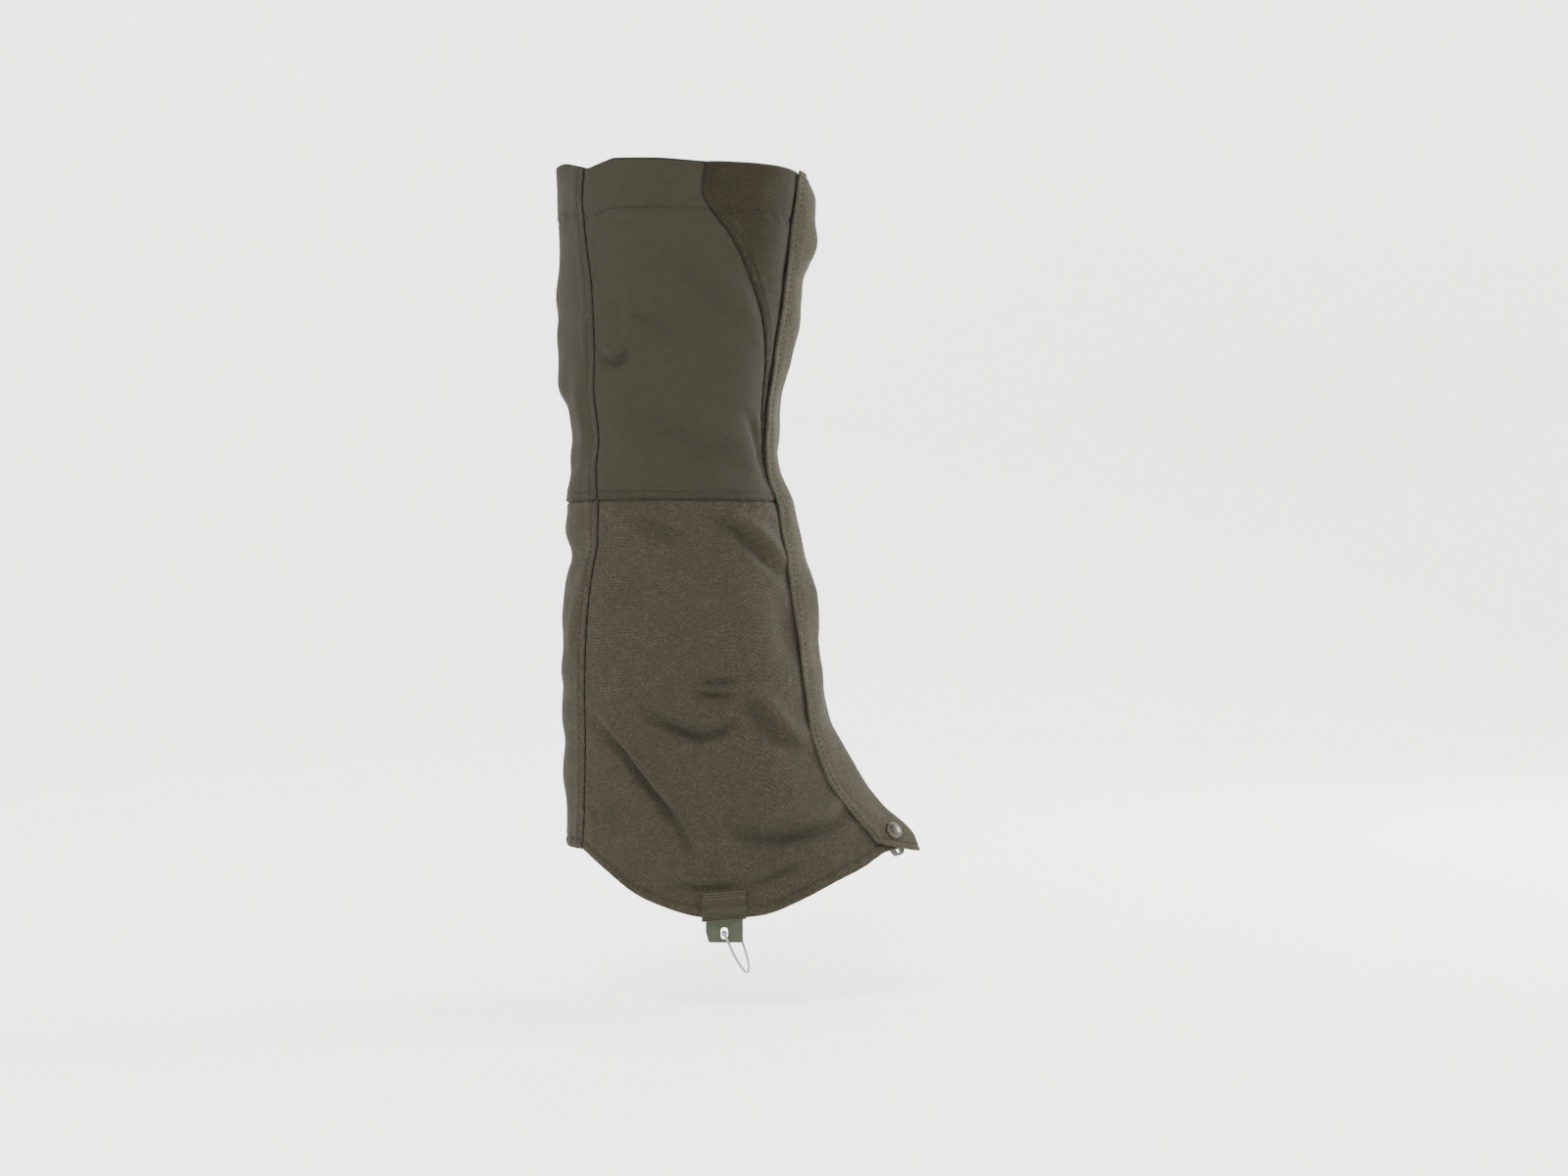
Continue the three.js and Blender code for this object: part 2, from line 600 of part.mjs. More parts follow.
// A steel hook on a cloth patch: it reaches below the hem and turns in under a boot lace.
function addLaceHook() {
  const place = seat((y, z) => [frontPlace(y, z), y, z], HOOK_SIDE, HOOK_HEIGHT);
  const patchFoot = 0.4;
  const low = patchFoot + HOOK_PATCH + TOUCH_GAP;
  const high = low + HOOK_STEEL;
  add('lace_hook_patch', box(HOOK_WIDTH + 1.4, 9, HOOK_PATCH, [0, 0, patchFoot + HOOK_PATCH / 2]), COARSE_CLOTH, place);
  const side = new THREE.Shape();
  side.moveTo(4, low);
  side.lineTo(4, high);
  side.lineTo(-14, high);
  side.absarc(-14, high - 3, 3, Math.PI / 2, Math.PI * 3 / 2, false);
  side.lineTo(-11, high - 6);
  side.lineTo(-11, high - 6 + HOOK_STEEL);
  side.lineTo(-14, high - 6 + HOOK_STEEL);
  side.absarc(-14, high - 3, 3 - HOOK_STEEL, Math.PI * 3 / 2, Math.PI / 2, true);
  const hook = new THREE.ExtrudeGeometry(side, { depth: HOOK_WIDTH, bevelEnabled: false, curveSegments: 8 });
  const turn = new THREE.Matrix4().makeBasis(
    new THREE.Vector3(0, 1, 0), new THREE.Vector3(0, 0, 1), new THREE.Vector3(1, 0, 0),
  );
  add('lace_hook', hook.applyMatrix4(turn).translate(-HOOK_WIDTH / 2, 0, 0), AGED_METAL, place);
  add('lace_hook_rivet', rounded([
    [0, high + TOUCH_GAP], [RIVET_DIAMETER / 2, high + TOUCH_GAP],
    [RIVET_DIAMETER / 2 - 0.4, high + 0.8], [0, high + 0.9],
  ]), AGED_METAL, place);
}

addShell();
addLinings();
addFlap();
addZip();
addFootLoop();
addSnap();
addLaceHook();

export default gaiter;
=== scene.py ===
import math

import bpy
import numpy as np
from mathutils import Matrix, Vector


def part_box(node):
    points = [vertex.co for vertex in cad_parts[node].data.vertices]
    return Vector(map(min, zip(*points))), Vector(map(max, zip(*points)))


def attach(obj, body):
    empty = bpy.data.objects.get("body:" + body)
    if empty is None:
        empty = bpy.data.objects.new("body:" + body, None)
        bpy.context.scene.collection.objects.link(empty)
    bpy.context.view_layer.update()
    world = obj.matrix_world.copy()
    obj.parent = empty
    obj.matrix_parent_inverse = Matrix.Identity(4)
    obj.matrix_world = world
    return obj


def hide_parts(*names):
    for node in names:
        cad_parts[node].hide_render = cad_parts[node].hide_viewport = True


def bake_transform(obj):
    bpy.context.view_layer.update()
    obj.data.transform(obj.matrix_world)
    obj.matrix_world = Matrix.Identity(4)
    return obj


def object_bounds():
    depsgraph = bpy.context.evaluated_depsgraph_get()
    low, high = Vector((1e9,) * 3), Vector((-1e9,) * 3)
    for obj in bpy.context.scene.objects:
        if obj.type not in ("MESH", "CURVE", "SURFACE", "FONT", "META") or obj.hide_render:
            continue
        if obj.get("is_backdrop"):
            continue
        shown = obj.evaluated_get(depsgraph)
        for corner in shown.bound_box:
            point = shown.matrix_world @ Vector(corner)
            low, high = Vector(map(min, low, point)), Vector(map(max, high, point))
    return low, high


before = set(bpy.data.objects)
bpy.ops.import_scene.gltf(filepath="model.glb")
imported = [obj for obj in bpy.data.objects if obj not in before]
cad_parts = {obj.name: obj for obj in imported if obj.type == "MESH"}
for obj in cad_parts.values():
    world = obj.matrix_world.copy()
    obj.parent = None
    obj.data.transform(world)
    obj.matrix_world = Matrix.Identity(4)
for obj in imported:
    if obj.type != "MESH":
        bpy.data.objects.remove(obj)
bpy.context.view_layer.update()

# ---- Camera ----
# Stands 1.5 m from the middle of the leg on the outer side, level with the lower calf, and
# looks straight across. Every size in this file is in millimetres until a mesh is made.
MM = 0.001
CAMERA_DISTANCE = 1500
CAMERA_AHEAD = 33.5
CAMERA_HEIGHT = 184
camera = bpy.data.objects.new("camera", bpy.data.cameras.new("camera"))
camera.data.sensor_width = 36
camera.data.lens = 59.2
camera.location = (CAMERA_AHEAD * MM, -CAMERA_DISTANCE * MM, CAMERA_HEIGHT * MM)
camera.rotation_euler = (math.pi / 2, 0, 0)
bpy.context.scene.collection.objects.link(camera)
bpy.context.scene.camera = camera


# ---- Wire under the boot ----
# Thin galvanised steel cable, six strands laid round a core. It starts at a ball in the
# outer tab, runs under the waist of the boot and ends at a ball in the inner tab.
WIRE_DIAMETER = 1.5
WIRE_LEAN = math.radians(25)
WIRE_PIVOT_HEIGHT = -10
WIRE_FACE = 53.45
WIRE_LAY = 9
STRANDS = 6
STRAND_VALLEY = 0.2
WIRE_RINGS = 300
WIRE_SIDES = 36


def paint(code):
    """A colour as sRGB hex, turned to the linear values that the shaders use."""
    parts = [int(code[i:i + 2], 16) / 255 for i in (0, 2, 4)]
    return tuple(c / 12.92 if c <= 0.04045 else ((c + 0.055) / 1.055) ** 2.4 for c in parts) + (1,)


def fill_inputs(tree, node, links):
    """Gives each input of a node a value, or a link from another node's socket."""
    for key, value in links.items():
        if isinstance(value, bpy.types.NodeSocket):
            tree.links.new(value, node.inputs[key])
        else:
            node.inputs[key].default_value = value


def add_node(tree, kind, links=None, **settings):
    """Adds a node: settings are its own, and links fill its inputs with values or sockets."""
    made = tree.nodes.new(kind)
    for key, value in settings.items():
        setattr(made, key, value)
    fill_inputs(tree, made, links or {})
    return made


def new_material(name):
    """An empty node material and its shader, ready for its own colour and relief."""
    material = bpy.data.materials.new(name)
    material.use_nodes = True
    tree = material.node_tree
    shader = tree.nodes["Principled BSDF"]
    return material, tree, shader


def smooth_route(points, count):
    """Points evenly spaced along a smooth curve through the given ones."""
    points = np.asarray(points, float)
    ends = np.vstack([2 * points[0] - points[1], points, 2 * points[-1] - points[-2]])
    dense = []
    for i in range(1, len(ends) - 2):
        t = np.linspace(0, 1, 24, endpoint=False)[:, None]
        a, b, c, d = ends[i - 1:i + 3]
        dense.append(b + t * (c - a) / 2 + t ** 2 * (2 * a - 5 * b + 4 * c - d) / 2
                     + t ** 3 * (3 * b - 3 * c + d - a) / 2)
    dense = np.vstack(dense + [points[-1:]])
    run = np.concatenate([[0], np.cumsum(np.linalg.norm(np.diff(dense, axis=0), axis=1))])
    at = np.linspace(0, run[-1], count)
    return np.stack([np.interp(at, run, dense[:, k]) for k in range(dense.shape[1])], axis=1), run[-1]


def make_object(name, vertices, faces, materials):
    """A mesh object in the row frame, from points in millimetres."""
    mesh = bpy.data.meshes.new(name)
    mesh.from_pydata((np.asarray(vertices) * MM).tolist(), [], faces)
    mesh.shade_smooth()
    made = bpy.data.objects.new(name, mesh)
    for material in materials:
        mesh.materials.append(material)
    bpy.context.scene.collection.objects.link(made)
    return made


def tube_faces(rings, sides):
    """Faces of a closed tube whose vertices are rings of equal size and two end points."""
    faces = []
    for i in range(rings - 1):
        for j in range(sides):
            k = (j + 1) % sides
            faces.append((i * sides + j, i * sides + k, (i + 1) * sides + k, (i + 1) * sides + j))
    first, last = rings * sides, rings * sides + 1
    faces += [(first, (j + 1) % sides, j) for j in range(sides)]
    top = (rings - 1) * sides
    faces += [(last, top + j, top + (j + 1) % sides) for j in range(sides)]
    return faces


def steel_wire():
    """Galvanised steel: bright, a little rough, with the darker valleys between its strands."""
    material, tree, shader = new_material("galvanised_steel_cable")
    where = add_node(tree, "ShaderNodeTexCoord")
    grain = add_node(tree, "ShaderNodeTexNoise", {"Vector": where.outputs["Object"],
                                                  "Scale": 1 / (0.4 * MM)})
    tone = add_node(tree, "ShaderNodeMix", {0: grain.outputs["Fac"], 6: paint("585a5c"),
                                            7: paint("8d8f91")}, data_type="RGBA")
    fill_inputs(tree, shader, {"Base Color": tone.outputs[2], "Metallic": 0.9, "Roughness": 0.42})
    return material


bright_steel = steel_wire()
half_route = [(2, 0), (6, 0), (11, 0), (14.5, 0.8), (18, 4), (22, 10), (25.3, 17.5), (28, 26),
              (29.8, 36), (30.6, 46)]
route = [(r, inset - WIRE_FACE) for r, inset in half_route]
route += [(r, -y) for r, y in reversed(route)]
wire_path, wire_length = smooth_route([
    (r * math.sin(WIRE_LEAN), y, WIRE_PIVOT_HEIGHT - r * math.cos(WIRE_LEAN)) for r, y in route], WIRE_RINGS)
wire_along = np.gradient(wire_path, axis=0)
wire_along /= np.linalg.norm(wire_along, axis=1)[:, None]
in_plane = np.array([math.cos(WIRE_LEAN), 0, math.sin(WIRE_LEAN)])
wire_up = np.cross(wire_along, in_plane)
turn = np.linspace(0, 2 * math.pi, WIRE_SIDES, endpoint=False)[None, :]
twist = (np.linspace(0, wire_length, WIRE_RINGS) / WIRE_LAY * 2 * math.pi)[:, None]
strand = np.abs(np.cos(STRANDS / 2 * (turn + twist)))
wire_radius = WIRE_DIAMETER / 2 * (1 - STRAND_VALLEY + STRAND_VALLEY * np.sqrt(strand))
rings = (wire_path[:, None, :]
         + (wire_radius * np.cos(turn))[:, :, None] * in_plane
         + (wire_radius * np.sin(turn))[:, :, None] * wire_up[:, None, :])
wire = make_object("underfoot_cable", np.vstack([rings.reshape(-1, 3), wire_path[[0, -1]]]),
                   tube_faces(WIRE_RINGS, WIRE_SIDES), [bright_steel])
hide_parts("underfoot_wire")
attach(wire, "foot_wire")


# ---- Balls on the wire ----
# Each end of the cable is swaged into a steel ball with a short collar. The ball sits in the
# tab's hole and the collar points down the cable.
BALL_RADIUS = 1.6
COLLAR_RADIUS = 0.85
COLLAR_END = 2.7
COLLAR_OUTWARD = 0.45


def lathe(profile, sides=32):
    """A closed turned shape about local Z from (radius, height) points, both ends on the axis."""
    angle = np.linspace(0, 2 * math.pi, sides, endpoint=False)
    body = [[r * np.cos(angle), r * np.sin(angle), np.full(sides, h)] for r, h in profile[1:-1]]
    points = np.concatenate([np.stack(ring, axis=1) for ring in body])
    ends = [[0, 0, profile[0][1]], [0, 0, profile[-1][1]]]
    return np.vstack([points, ends]), tube_faces(len(profile) - 2, sides)


ball_profile = [(BALL_RADIUS * math.sin(a), -BALL_RADIUS * math.cos(a))
                for a in np.linspace(0, math.pi * 0.78, 16)]
ball_profile += [(COLLAR_RADIUS, 1.5), (COLLAR_RADIUS, COLLAR_END - 0.2),
                 (COLLAR_RADIUS - 0.2, COLLAR_END), (0, COLLAR_END)]
ball_points, ball_faces = lathe(ball_profile)
for side, node in ((-1, "outer_wire_ball"), (1, "inner_wire_ball")):
    low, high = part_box(node)
    centre = np.array([(a + b) / 2 / MM for a, b in zip(low, high)])
    down_wire = np.array([math.sin(WIRE_LEAN), side * COLLAR_OUTWARD, -math.cos(WIRE_LEAN)])
    aim = Vector(down_wire).to_track_quat("Z", "Y").to_matrix()
    placed = ball_points @ np.array(aim).T + centre
    ball = make_object(node + "_swaged", placed, ball_faces, [bright_steel])
    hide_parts(node)
    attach(ball, "foot_wire")


# ---- The leg's shape ----
# Level sections through the sewn tube, as lists of (height, value): where its back and front
# lie, how wide it is, where it is widest and how pointed its front is. The ridge is the flap's
# outermost line, the seams are angles in degrees, and the hem is a height at each place.
BACK_LINE = [(36, -92), (49, -93), (70, -94.2), (125, -95.3), (166, -95.3), (193, -93),
             (207, -91), (220, -92.5), (248, -92), (268, -89), (282, -92), (296, -96), (309, -97),
             (337, -98.7), (378, -97), (405, -98), (422, -99)]
FRONT_LINE = [(0, 116), (20, 109.5), (32, 103.5), (43, 96.5), (56, 85), (70, 74.5), (84, 66),
              (97, 59), (111, 53), (125, 49), (152, 45.5), (179, 41), (207, 37), (231, 31),
              (252, 24.3), (268, 22.8), (285, 23.5), (300, 25.6), (345, 31.9), (405, 40.3),
              (422, 42.6)]
RIDGE_LINE = [(32, 113), (43, 107.5), (56, 93.5), (70, 82), (84, 73), (97, 66), (111, 60),
              (125, 57), (152, 53.5), (179, 53.5), (193, 49), (207, 45), (234, 38.6),
              (248, 33.5), (262, 30), (275, 31.2), (288, 31.5), (303, 33.2), (316, 37.5),
              (337, 42.6), (352, 44), (364, 45.5), (371, 48.3), (385, 52.3), (400, 52),
              (412, 51), (422, 46.8)]
HALF_WIDTH = [(0, 57), (35, 57), (70, 55.5), (131, 54), (180, 55), (230, 52), (265, 50),
              (320, 55), (380, 60), (422, 61)]
WIDEST_AT = [(0, 0), (35, -4), (70, -12), (125, -22), (180, -27), (265, -33), (345, -30.3),
             (422, -28)]
SHARPNESS = [(0, 1.5), (32, 1.65), (56, 1.75), (70, 1.85), (84, 1.7), (97, 1.5), (111, 1.24),
             (125, 1.02), (207, 1), (231, 0.76), (268, 0.67), (349, 0.68), (392, 0.8),
             (422, 0.8)]
BACK_SEAM = [(37, 152), (57, 148), (94, 144), (128, 142.5), (156, 140.5), (195, 137),
             (227, 132), (262, 134.5), (318, 130), (354, 132), (376, 136.5), (401, 139),
             (422, 137)]
INSERT_SEAM = [(234, 9.5), (262, 14), (292, 18.5), (314, 22), (335, 30.5), (354, 42.3),
               (367, 50.3), (382, 60), (391, 67.5), (404, 75.5), (422, 75)]
HEM_LINE = [(-84, 37), (-64, 22), (-50, 12), (-33, 5), (-14, 0.4), (0, 0), (14, 0.4),
            (27, 2.5), (43, 9), (64, 19), (79, 25.5), (93, 33), (110, 33.5)]
BACK_HEM = 35.5
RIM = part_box("outer_upper_panel")[1][2] / MM
WAIST = 234
FLAP_EDGE = 20
FLAP_SEWN = 19
CROWDING = 0.62
ZIP_CHANNEL = 5
ANKLE = 131


def read_line(points, at):
    """Reads a smooth curve through (place, value) points, for an array of places."""
    place, value = np.array(points, float).T
    at = np.clip(at, place[0], place[-1])
    last = len(place) - 1
    rise = np.array([(value[min(i + 1, last)] - value[max(i - 1, 0)])
                     / (place[min(i + 1, last)] - place[max(i - 1, 0)]) for i in range(len(place))])
    i = np.clip(np.searchsorted(place, at, side="right") - 1, 0, last - 1)
    step = place[i + 1] - place[i]
    t = (at - place[i]) / step
    return (value[i] * (1 + 2 * t) * (1 - t) ** 2 + rise[i] * step * t * (1 - t) ** 2
            + value[i + 1] * t * t * (3 - 2 * t) - rise[i + 1] * step * t * t * (1 - t))


def shell_point(angle, z):
    """Points on the tube: the angle runs from the centre front, positive on the outer side."""
    centre = read_line(WIDEST_AT, z)
    ahead = np.cos(angle) > 0
    reach = np.where(ahead, read_line(FRONT_LINE, z) - centre, centre - read_line(BACK_LINE, z))
    power = np.where(ahead, read_line(SHARPNESS, z), 1)
    side = np.abs(np.sin(angle)) ** power * np.sign(np.sin(angle))
    return np.stack([centre + reach * np.cos(angle), -read_line(HALF_WIDTH, z) * side,
                     z + 0 * angle], axis=-1)


def angle_at_side(side, z):
    """The angle on the front half where the tube is this far from its middle plane."""
    return np.arcsin(np.clip(side / read_line(HALF_WIDTH, z), 0, 1) ** (1 / read_line(SHARPNESS, z)))


def front_place(y, z):
    """Where the tube's front lies, this far from its middle plane."""
    return shell_point(angle_at_side(np.abs(y), z), z)[..., 0]


def lay_panel(rear, front, foot, top, columns, rows):
    """A grid of points for a cloth panel between two seams, from its foot up to its top. Its
    lines crowd together toward the seams, where the cloth bends most."""
    even = (np.linspace(0, 1, columns + 1)[None, :], np.linspace(0, 1, rows + 1)[:, None])
    u, v = (t - CROWDING * np.sin(2 * math.pi * t) / (2 * math.pi) for t in even)
    z = np.full((rows + 1, columns + 1), float(top))
    for _ in range(8):
        angle = rear(z) * (1 - u) + front(z) * u
        z = foot(shell_point(angle, z)[..., 0]) * (1 - v) + top * v
    return shell_point(angle, z)


def run_lengths(grid, axis):
    """Length along the cloth from its first edge, for every point of a grid."""
    steps = np.linalg.norm(np.diff(grid, axis=axis), axis=-1)
    start = np.zeros_like(np.take(steps, [0], axis=axis))
    return np.concatenate([start, np.cumsum(steps, axis=axis)], axis=axis)


def facing(grid):
    """Unit normals of a grid, pointing out of the leg."""
    normal = np.cross(np.gradient(grid, axis=1), np.gradient(grid, axis=0))
    return normal / np.linalg.norm(normal, axis=-1)[..., None]


# ---- Folds in the cloth ----
# Worn cloth creases where the ankle bends and where the hem is pulled down by the wire. Each
# fold is a line from back to front with its half-width and depth: the cloth stands proud
# above the line and tucks in below it.
FOLD_GAIN = 1.55
WAVES = 14
OUTER_FOLDS = [
    ([(-71, 318), (-66, 312.5), (-59, 311.5), (-53, 320)], 3.4, 2.3),
    ([(-52, 382), (-22, 357), (12, 327)], 9, 2.2),
    ([(-54, 341), (-42, 333), (-27, 321)], 6, 1.9),
    ([(-64, 350), (-59, 338), (-57, 324)], 6, 0.9),
    ([(-56, 282), (-22, 266), (17, 250)], 9, 2.4),
    ([(13, 283), (20, 262), (26, 240)], 3.2, 2.0),
    ([(-52, 225), (-38, 217), (-21, 211)], 5, 2.6),
    ([(-9, 228), (14, 211), (34, 190)], 4.6, 3.6),
    ([(-17, 130.5), (-4, 131.5), (10, 133.4)], 1.8, 2.0),
    ([(-18, 126), (-8, 124.4), (6, 124)], 2.0, 3.0),
    ([(6, 125), (20, 112), (31, 98), (45, 91)], 5, 3.2),
    ([(-47, 115.5), (-30, 107), (-13, 102), (1, 106), (9, 112)], 4.4, 4.2),
    ([(-76, 112), (-62, 97), (-46, 77), (-32, 60), (-21, 44), (-15, 27)], 3.6, 3.8),
    ([(-4, 53), (14, 45.5), (33, 44), (55, 48), (71, 55)], 5.2, 4.4),
    ([(12, 17), (28, 24), (46, 29)], 3.6, 2.2),
    ([(-27, 17.5), (-8, 17), (12, 18)], 2.4, 2.0),
    ([(-78, 60), (-66, 54), (-58, 56)], 4, 1.4),
    ([(-70, 170), (-50, 176), (-34, 172)], 8, 1.2),
    ([(28, 180), (36, 160), (41, 138)], 8, 1.6),
]
INNER_FOLDS = [
    ([(-66, 356), (-40, 344), (-8, 350)], 8, 2.0),
    ([(-58, 300), (-30, 286), (6, 292)], 7, 2.2),
    ([(-52, 262), (-20, 250), (16, 256)], 6, 2.2),
    ([(-60, 214), (-30, 200), (4, 206)], 7, 2.8),
    ([(-46, 128), (-18, 124), (12, 130)], 2.4, 2.2),
    ([(-60, 112), (-30, 101), (4, 108)], 4.6, 3.6),
    ([(8, 118), (24, 102), (44, 90)], 5, 3.0),
    ([(-72, 96), (-50, 70), (-30, 42), (-20, 22)], 4, 3.4),
    ([(2, 56), (26, 46), (52, 50), (70, 58)], 5, 3.6),
    ([(-24, 17.5), (-6, 17), (14, 18)], 2.4, 2.0),
]
BACK_FOLDS = [
    ([(-44, 352), (-6, 342), (40, 354)], 10, 0.8),
    ([(-42, 306), (0, 290), (44, 300)], 10, 1.0),
    ([(-40, 262), (4, 250), (42, 264)], 9, 1.0),
    ([(-40, 216), (-6, 202), (38, 212)], 10, 1.1),
    ([(-40, 134), (-20, 126), (6, 130)], 6, 0.6),
    ([(-38, 108), (0, 96), (36, 106)], 9, 0.5),
    ([(-36, 74), (4, 62), (34, 72)], 9, 0.4),
    ([(-42, 200), (-33, 165), (-31, 140)], 5, 1.3),
    ([(-42, 318), (-34, 280), (-32, 248)], 5, 1.3),
]


def creases(place, z, folds):
    """How far folds push the cloth in or out, at places across the panel and heights."""
    push = np.zeros_like(z)
    for points, width, depth in folds:
        line, _ = smooth_route(points, 28)
        nearest = np.full(z.shape, 1e9)
        above = np.zeros_like(z)
        along = np.zeros_like(z)
        for i in range(len(line) - 1):
            (ax, az), (bx, bz) = line[i], line[i + 1]
            dx, dz = bx - ax, bz - az
            t = np.clip(((place - ax) * dx + (z - az) * dz) / (dx * dx + dz * dz), 0, 1)
            gap = np.hypot(place - ax - t * dx, z - az - t * dz)
            closer = gap < nearest
            nearest = np.where(closer, gap, nearest)
            above = np.where(closer, np.sign(dx * (z - az) - dz * (place - ax)), above)
            along = np.where(closer, (i + t) / (len(line) - 1), along)
        s = nearest * above / width
        fade = np.sin(np.clip(along, 0.02, 0.98) * math.pi) ** 0.7
        ridge = 0.75 * np.exp(-((s - 1.3) / 1.1) ** 2)
        push += FOLD_GAIN * depth * fade * (ridge - np.exp(-((s + 0.1) / 0.8) ** 2))
    return push


def unevenness(place, z, size, amount, seed):
    """Gentle random waves in the cloth, about size across and amount high."""
    draw = np.random.default_rng(seed)
    total = np.zeros_like(z)
    for _ in range(WAVES):
        heading = draw.uniform(0, math.pi)
        length = size * draw.uniform(0.6, 1.8)
        phase = draw.uniform(0, 2 * math.pi)
        total += np.sin((place * math.cos(heading) + z * math.sin(heading)) / length * 2 * math.pi + phase)
    return amount * total / WAVES ** 0.5


# ---- Cloth ----
# The upper is a smooth, tightly woven polyester and cotton, dyed olive brown. The lower, the
# insert and the flap are a coarse basket weave that wears better, the insert a shade darker.
# The flap's copy is painted lighter, as painted light from the lamp on the shin side. All are
# matt, and all are coated on the inside.
CLOTH = 0.8
SMOOTH_THREAD = 0.7
COARSE_THREAD = 0.95


def woven(name, dark, light, tint, thread, relief, sheen):
    """Cloth woven from threads of close colours, with uneven dye. Its thread spacing is drawn
    coarser than the real 0.3 to 0.5 mm, so that the weave shows at this size."""
    material, tree, shader = new_material(name)
    flat = add_node(tree, "ShaderNodeUVMap", uv_map="cloth")
    drift = add_node(tree, "ShaderNodeTexNoise", {"Vector": flat.outputs[0], "Scale": 1 / (9 * MM)})
    bent = add_node(tree, "ShaderNodeMix", {0: 0.0012, 4: flat.outputs[0], 5: drift.outputs["Color"]},
                    data_type="VECTOR")
    at = add_node(tree, "ShaderNodeSeparateXYZ", {0: bent.outputs[1]})
    waves = []
    for axis in (0, 1):
        turns = add_node(tree, "ShaderNodeMath", {0: at.outputs[axis], 1: math.pi / (thread * MM)},
                         operation="MULTIPLY")
        waves.append(add_node(tree, "ShaderNodeMath", {0: turns.outputs[0]}, operation="SINE"))
    weave = add_node(tree, "ShaderNodeMath", {0: waves[0].outputs[0], 1: waves[1].outputs[0]},
                     operation="MULTIPLY")
    raised = add_node(tree, "ShaderNodeMapRange", {0: weave.outputs[0], 1: -1.0, 2: 1.0})
    fine = add_node(tree, "ShaderNodeTexNoise", {"Vector": flat.outputs[0], "Scale": 1 / (1.6 * MM),
                                                 "Detail": 3.0, "Roughness": 0.7})
    patch = add_node(tree, "ShaderNodeTexNoise", {"Vector": flat.outputs[0], "Scale": 1 / (8 * MM),
                                                  "Detail": 5.0, "Roughness": 0.7})
    speckle = add_node(tree, "ShaderNodeMix", {0: 0.2, 2: fine.outputs[0], 3: raised.outputs[0]})
    spread = add_node(tree, "ShaderNodeMapRange", {0: speckle.outputs[0], 1: 0.32, 2: 0.68})
    tone = add_node(tree, "ShaderNodeMix", {0: spread.outputs[0], 6: paint(dark), 7: paint(light)},
                    data_type="RGBA")
    dye = add_node(tree, "ShaderNodeMapRange", {0: patch.outputs[0], 1: 0.35, 2: 0.65, 3: 0.0, 4: 0.6})
    dyed = add_node(tree, "ShaderNodeMix", {0: dye.outputs[0], 6: tone.outputs[2], 7: paint(tint)},
                    data_type="RGBA")
    height = add_node(tree, "ShaderNodeMix", {0: 0.5, 2: raised.outputs[0], 3: fine.outputs[0]})
    bump = add_node(tree, "ShaderNodeBump", {"Strength": relief, "Distance": 0.3 * MM,
                                             "Height": height.outputs[0]})
    fill_inputs(tree, shader, {"Base Color": dyed.outputs[2], "Normal": bump.outputs[0],
                               "Roughness": 0.92, "Specular IOR Level": 0.06, "Sheen Weight": sheen,
                               "Sheen Roughness": 0.5})
    return material


smooth_cloth = woven("smooth_poly_cotton", "23211b", "2b2921", "26241d", SMOOTH_THREAD, 0.3, 0.02)
coarse_cloth = woven("coarse_basket_weave", "1c1b15", "38342b", "25231b", COARSE_THREAD, 0.5, 0.02)
# Painted light: the flap's copy of the coarse weave is lighter, as if lit from the shin side.
lit_flap_cloth = woven("coarse_flap_weave_painted_light", "23221b", "403c31", "2b2a21", COARSE_THREAD, 0.5, 0.04)
insert_cloth = woven("coarse_insert_weave", "15130d", "2a271c", "1b1912", COARSE_THREAD, 0.5, 0.02)
coated_cloth = woven("coated_cloth_inside", "1f1d18", "26241d", "1d1c17", SMOOTH_THREAD, 0.12, 0.02)


def cloth_object(name, grids, materials, thickness=CLOTH):
    """A closed sheet of cloth from one or more grids of points on its outer face, with a
    rounded edge, its inside in the second material, and its flat lay as the UV map."""
    vertices, faces, inside, flats = [], [], [], []
    base = 0
    for grid in grids:
        rows, columns = grid.shape[:2]
        normal = facing(grid)
        under = grid - normal * thickness
        flat = np.stack([run_lengths(grid, 1), run_lengths(grid, 0)], axis=-1)
        index = np.arange(rows * columns).reshape(rows, columns)
        rim = np.concatenate([index[0, :-1], index[:-1, -1], index[-1, :0:-1], index[:0:-1, 0]])
        inner = np.concatenate([index[1, :-1], index[:-1, -2], index[-2, :0:-1], index[:0:-1, 1]])
        points = grid.reshape(-1, 3)
        out = points[rim] - points[inner]
        out /= np.linalg.norm(out, axis=1)[:, None] + 1e-9
        middle = (points[rim] + under.reshape(-1, 3)[rim]) / 2 + out * thickness * 0.35
        count = rows * columns
        quads = np.stack([index[:-1, :-1], index[:-1, 1:], index[1:, 1:], index[1:, :-1]], axis=-1)
        quads = quads.reshape(-1, 4)
        rim_next = np.roll(rim, -1)
        edge = np.arange(len(rim)) + 2 * count
        edge_next = np.roll(edge, -1)
        faces += (quads + base).tolist()
        faces += (quads[:, ::-1] + count + base).tolist()
        faces += (np.stack([rim_next, rim, edge, edge_next], axis=1) + base).tolist()
        faces += (np.stack([edge_next, edge, rim + count, rim_next + count], axis=1) + base).tolist()
        inside += [0] * len(quads) + [1] * len(quads) + [0] * (2 * len(rim))
        vertices += [points, under.reshape(-1, 3), middle]
        flats += [flat.reshape(-1, 2), flat.reshape(-1, 2), flat.reshape(-1, 2)[rim]]
        base += 2 * count + len(rim)
    made = make_object(name, np.vstack(vertices), faces, materials)
    mesh = made.data
    if len(materials) > 1:
        mesh.polygons.foreach_set("material_index", inside)
    corner = np.zeros(len(mesh.loops), int)
    mesh.loops.foreach_get("vertex_index", corner)
    layer = mesh.uv_layers.new(name="cloth")
    layer.data.foreach_set("uv", (np.vstack(flats)[corner] * MM).ravel())
    return made


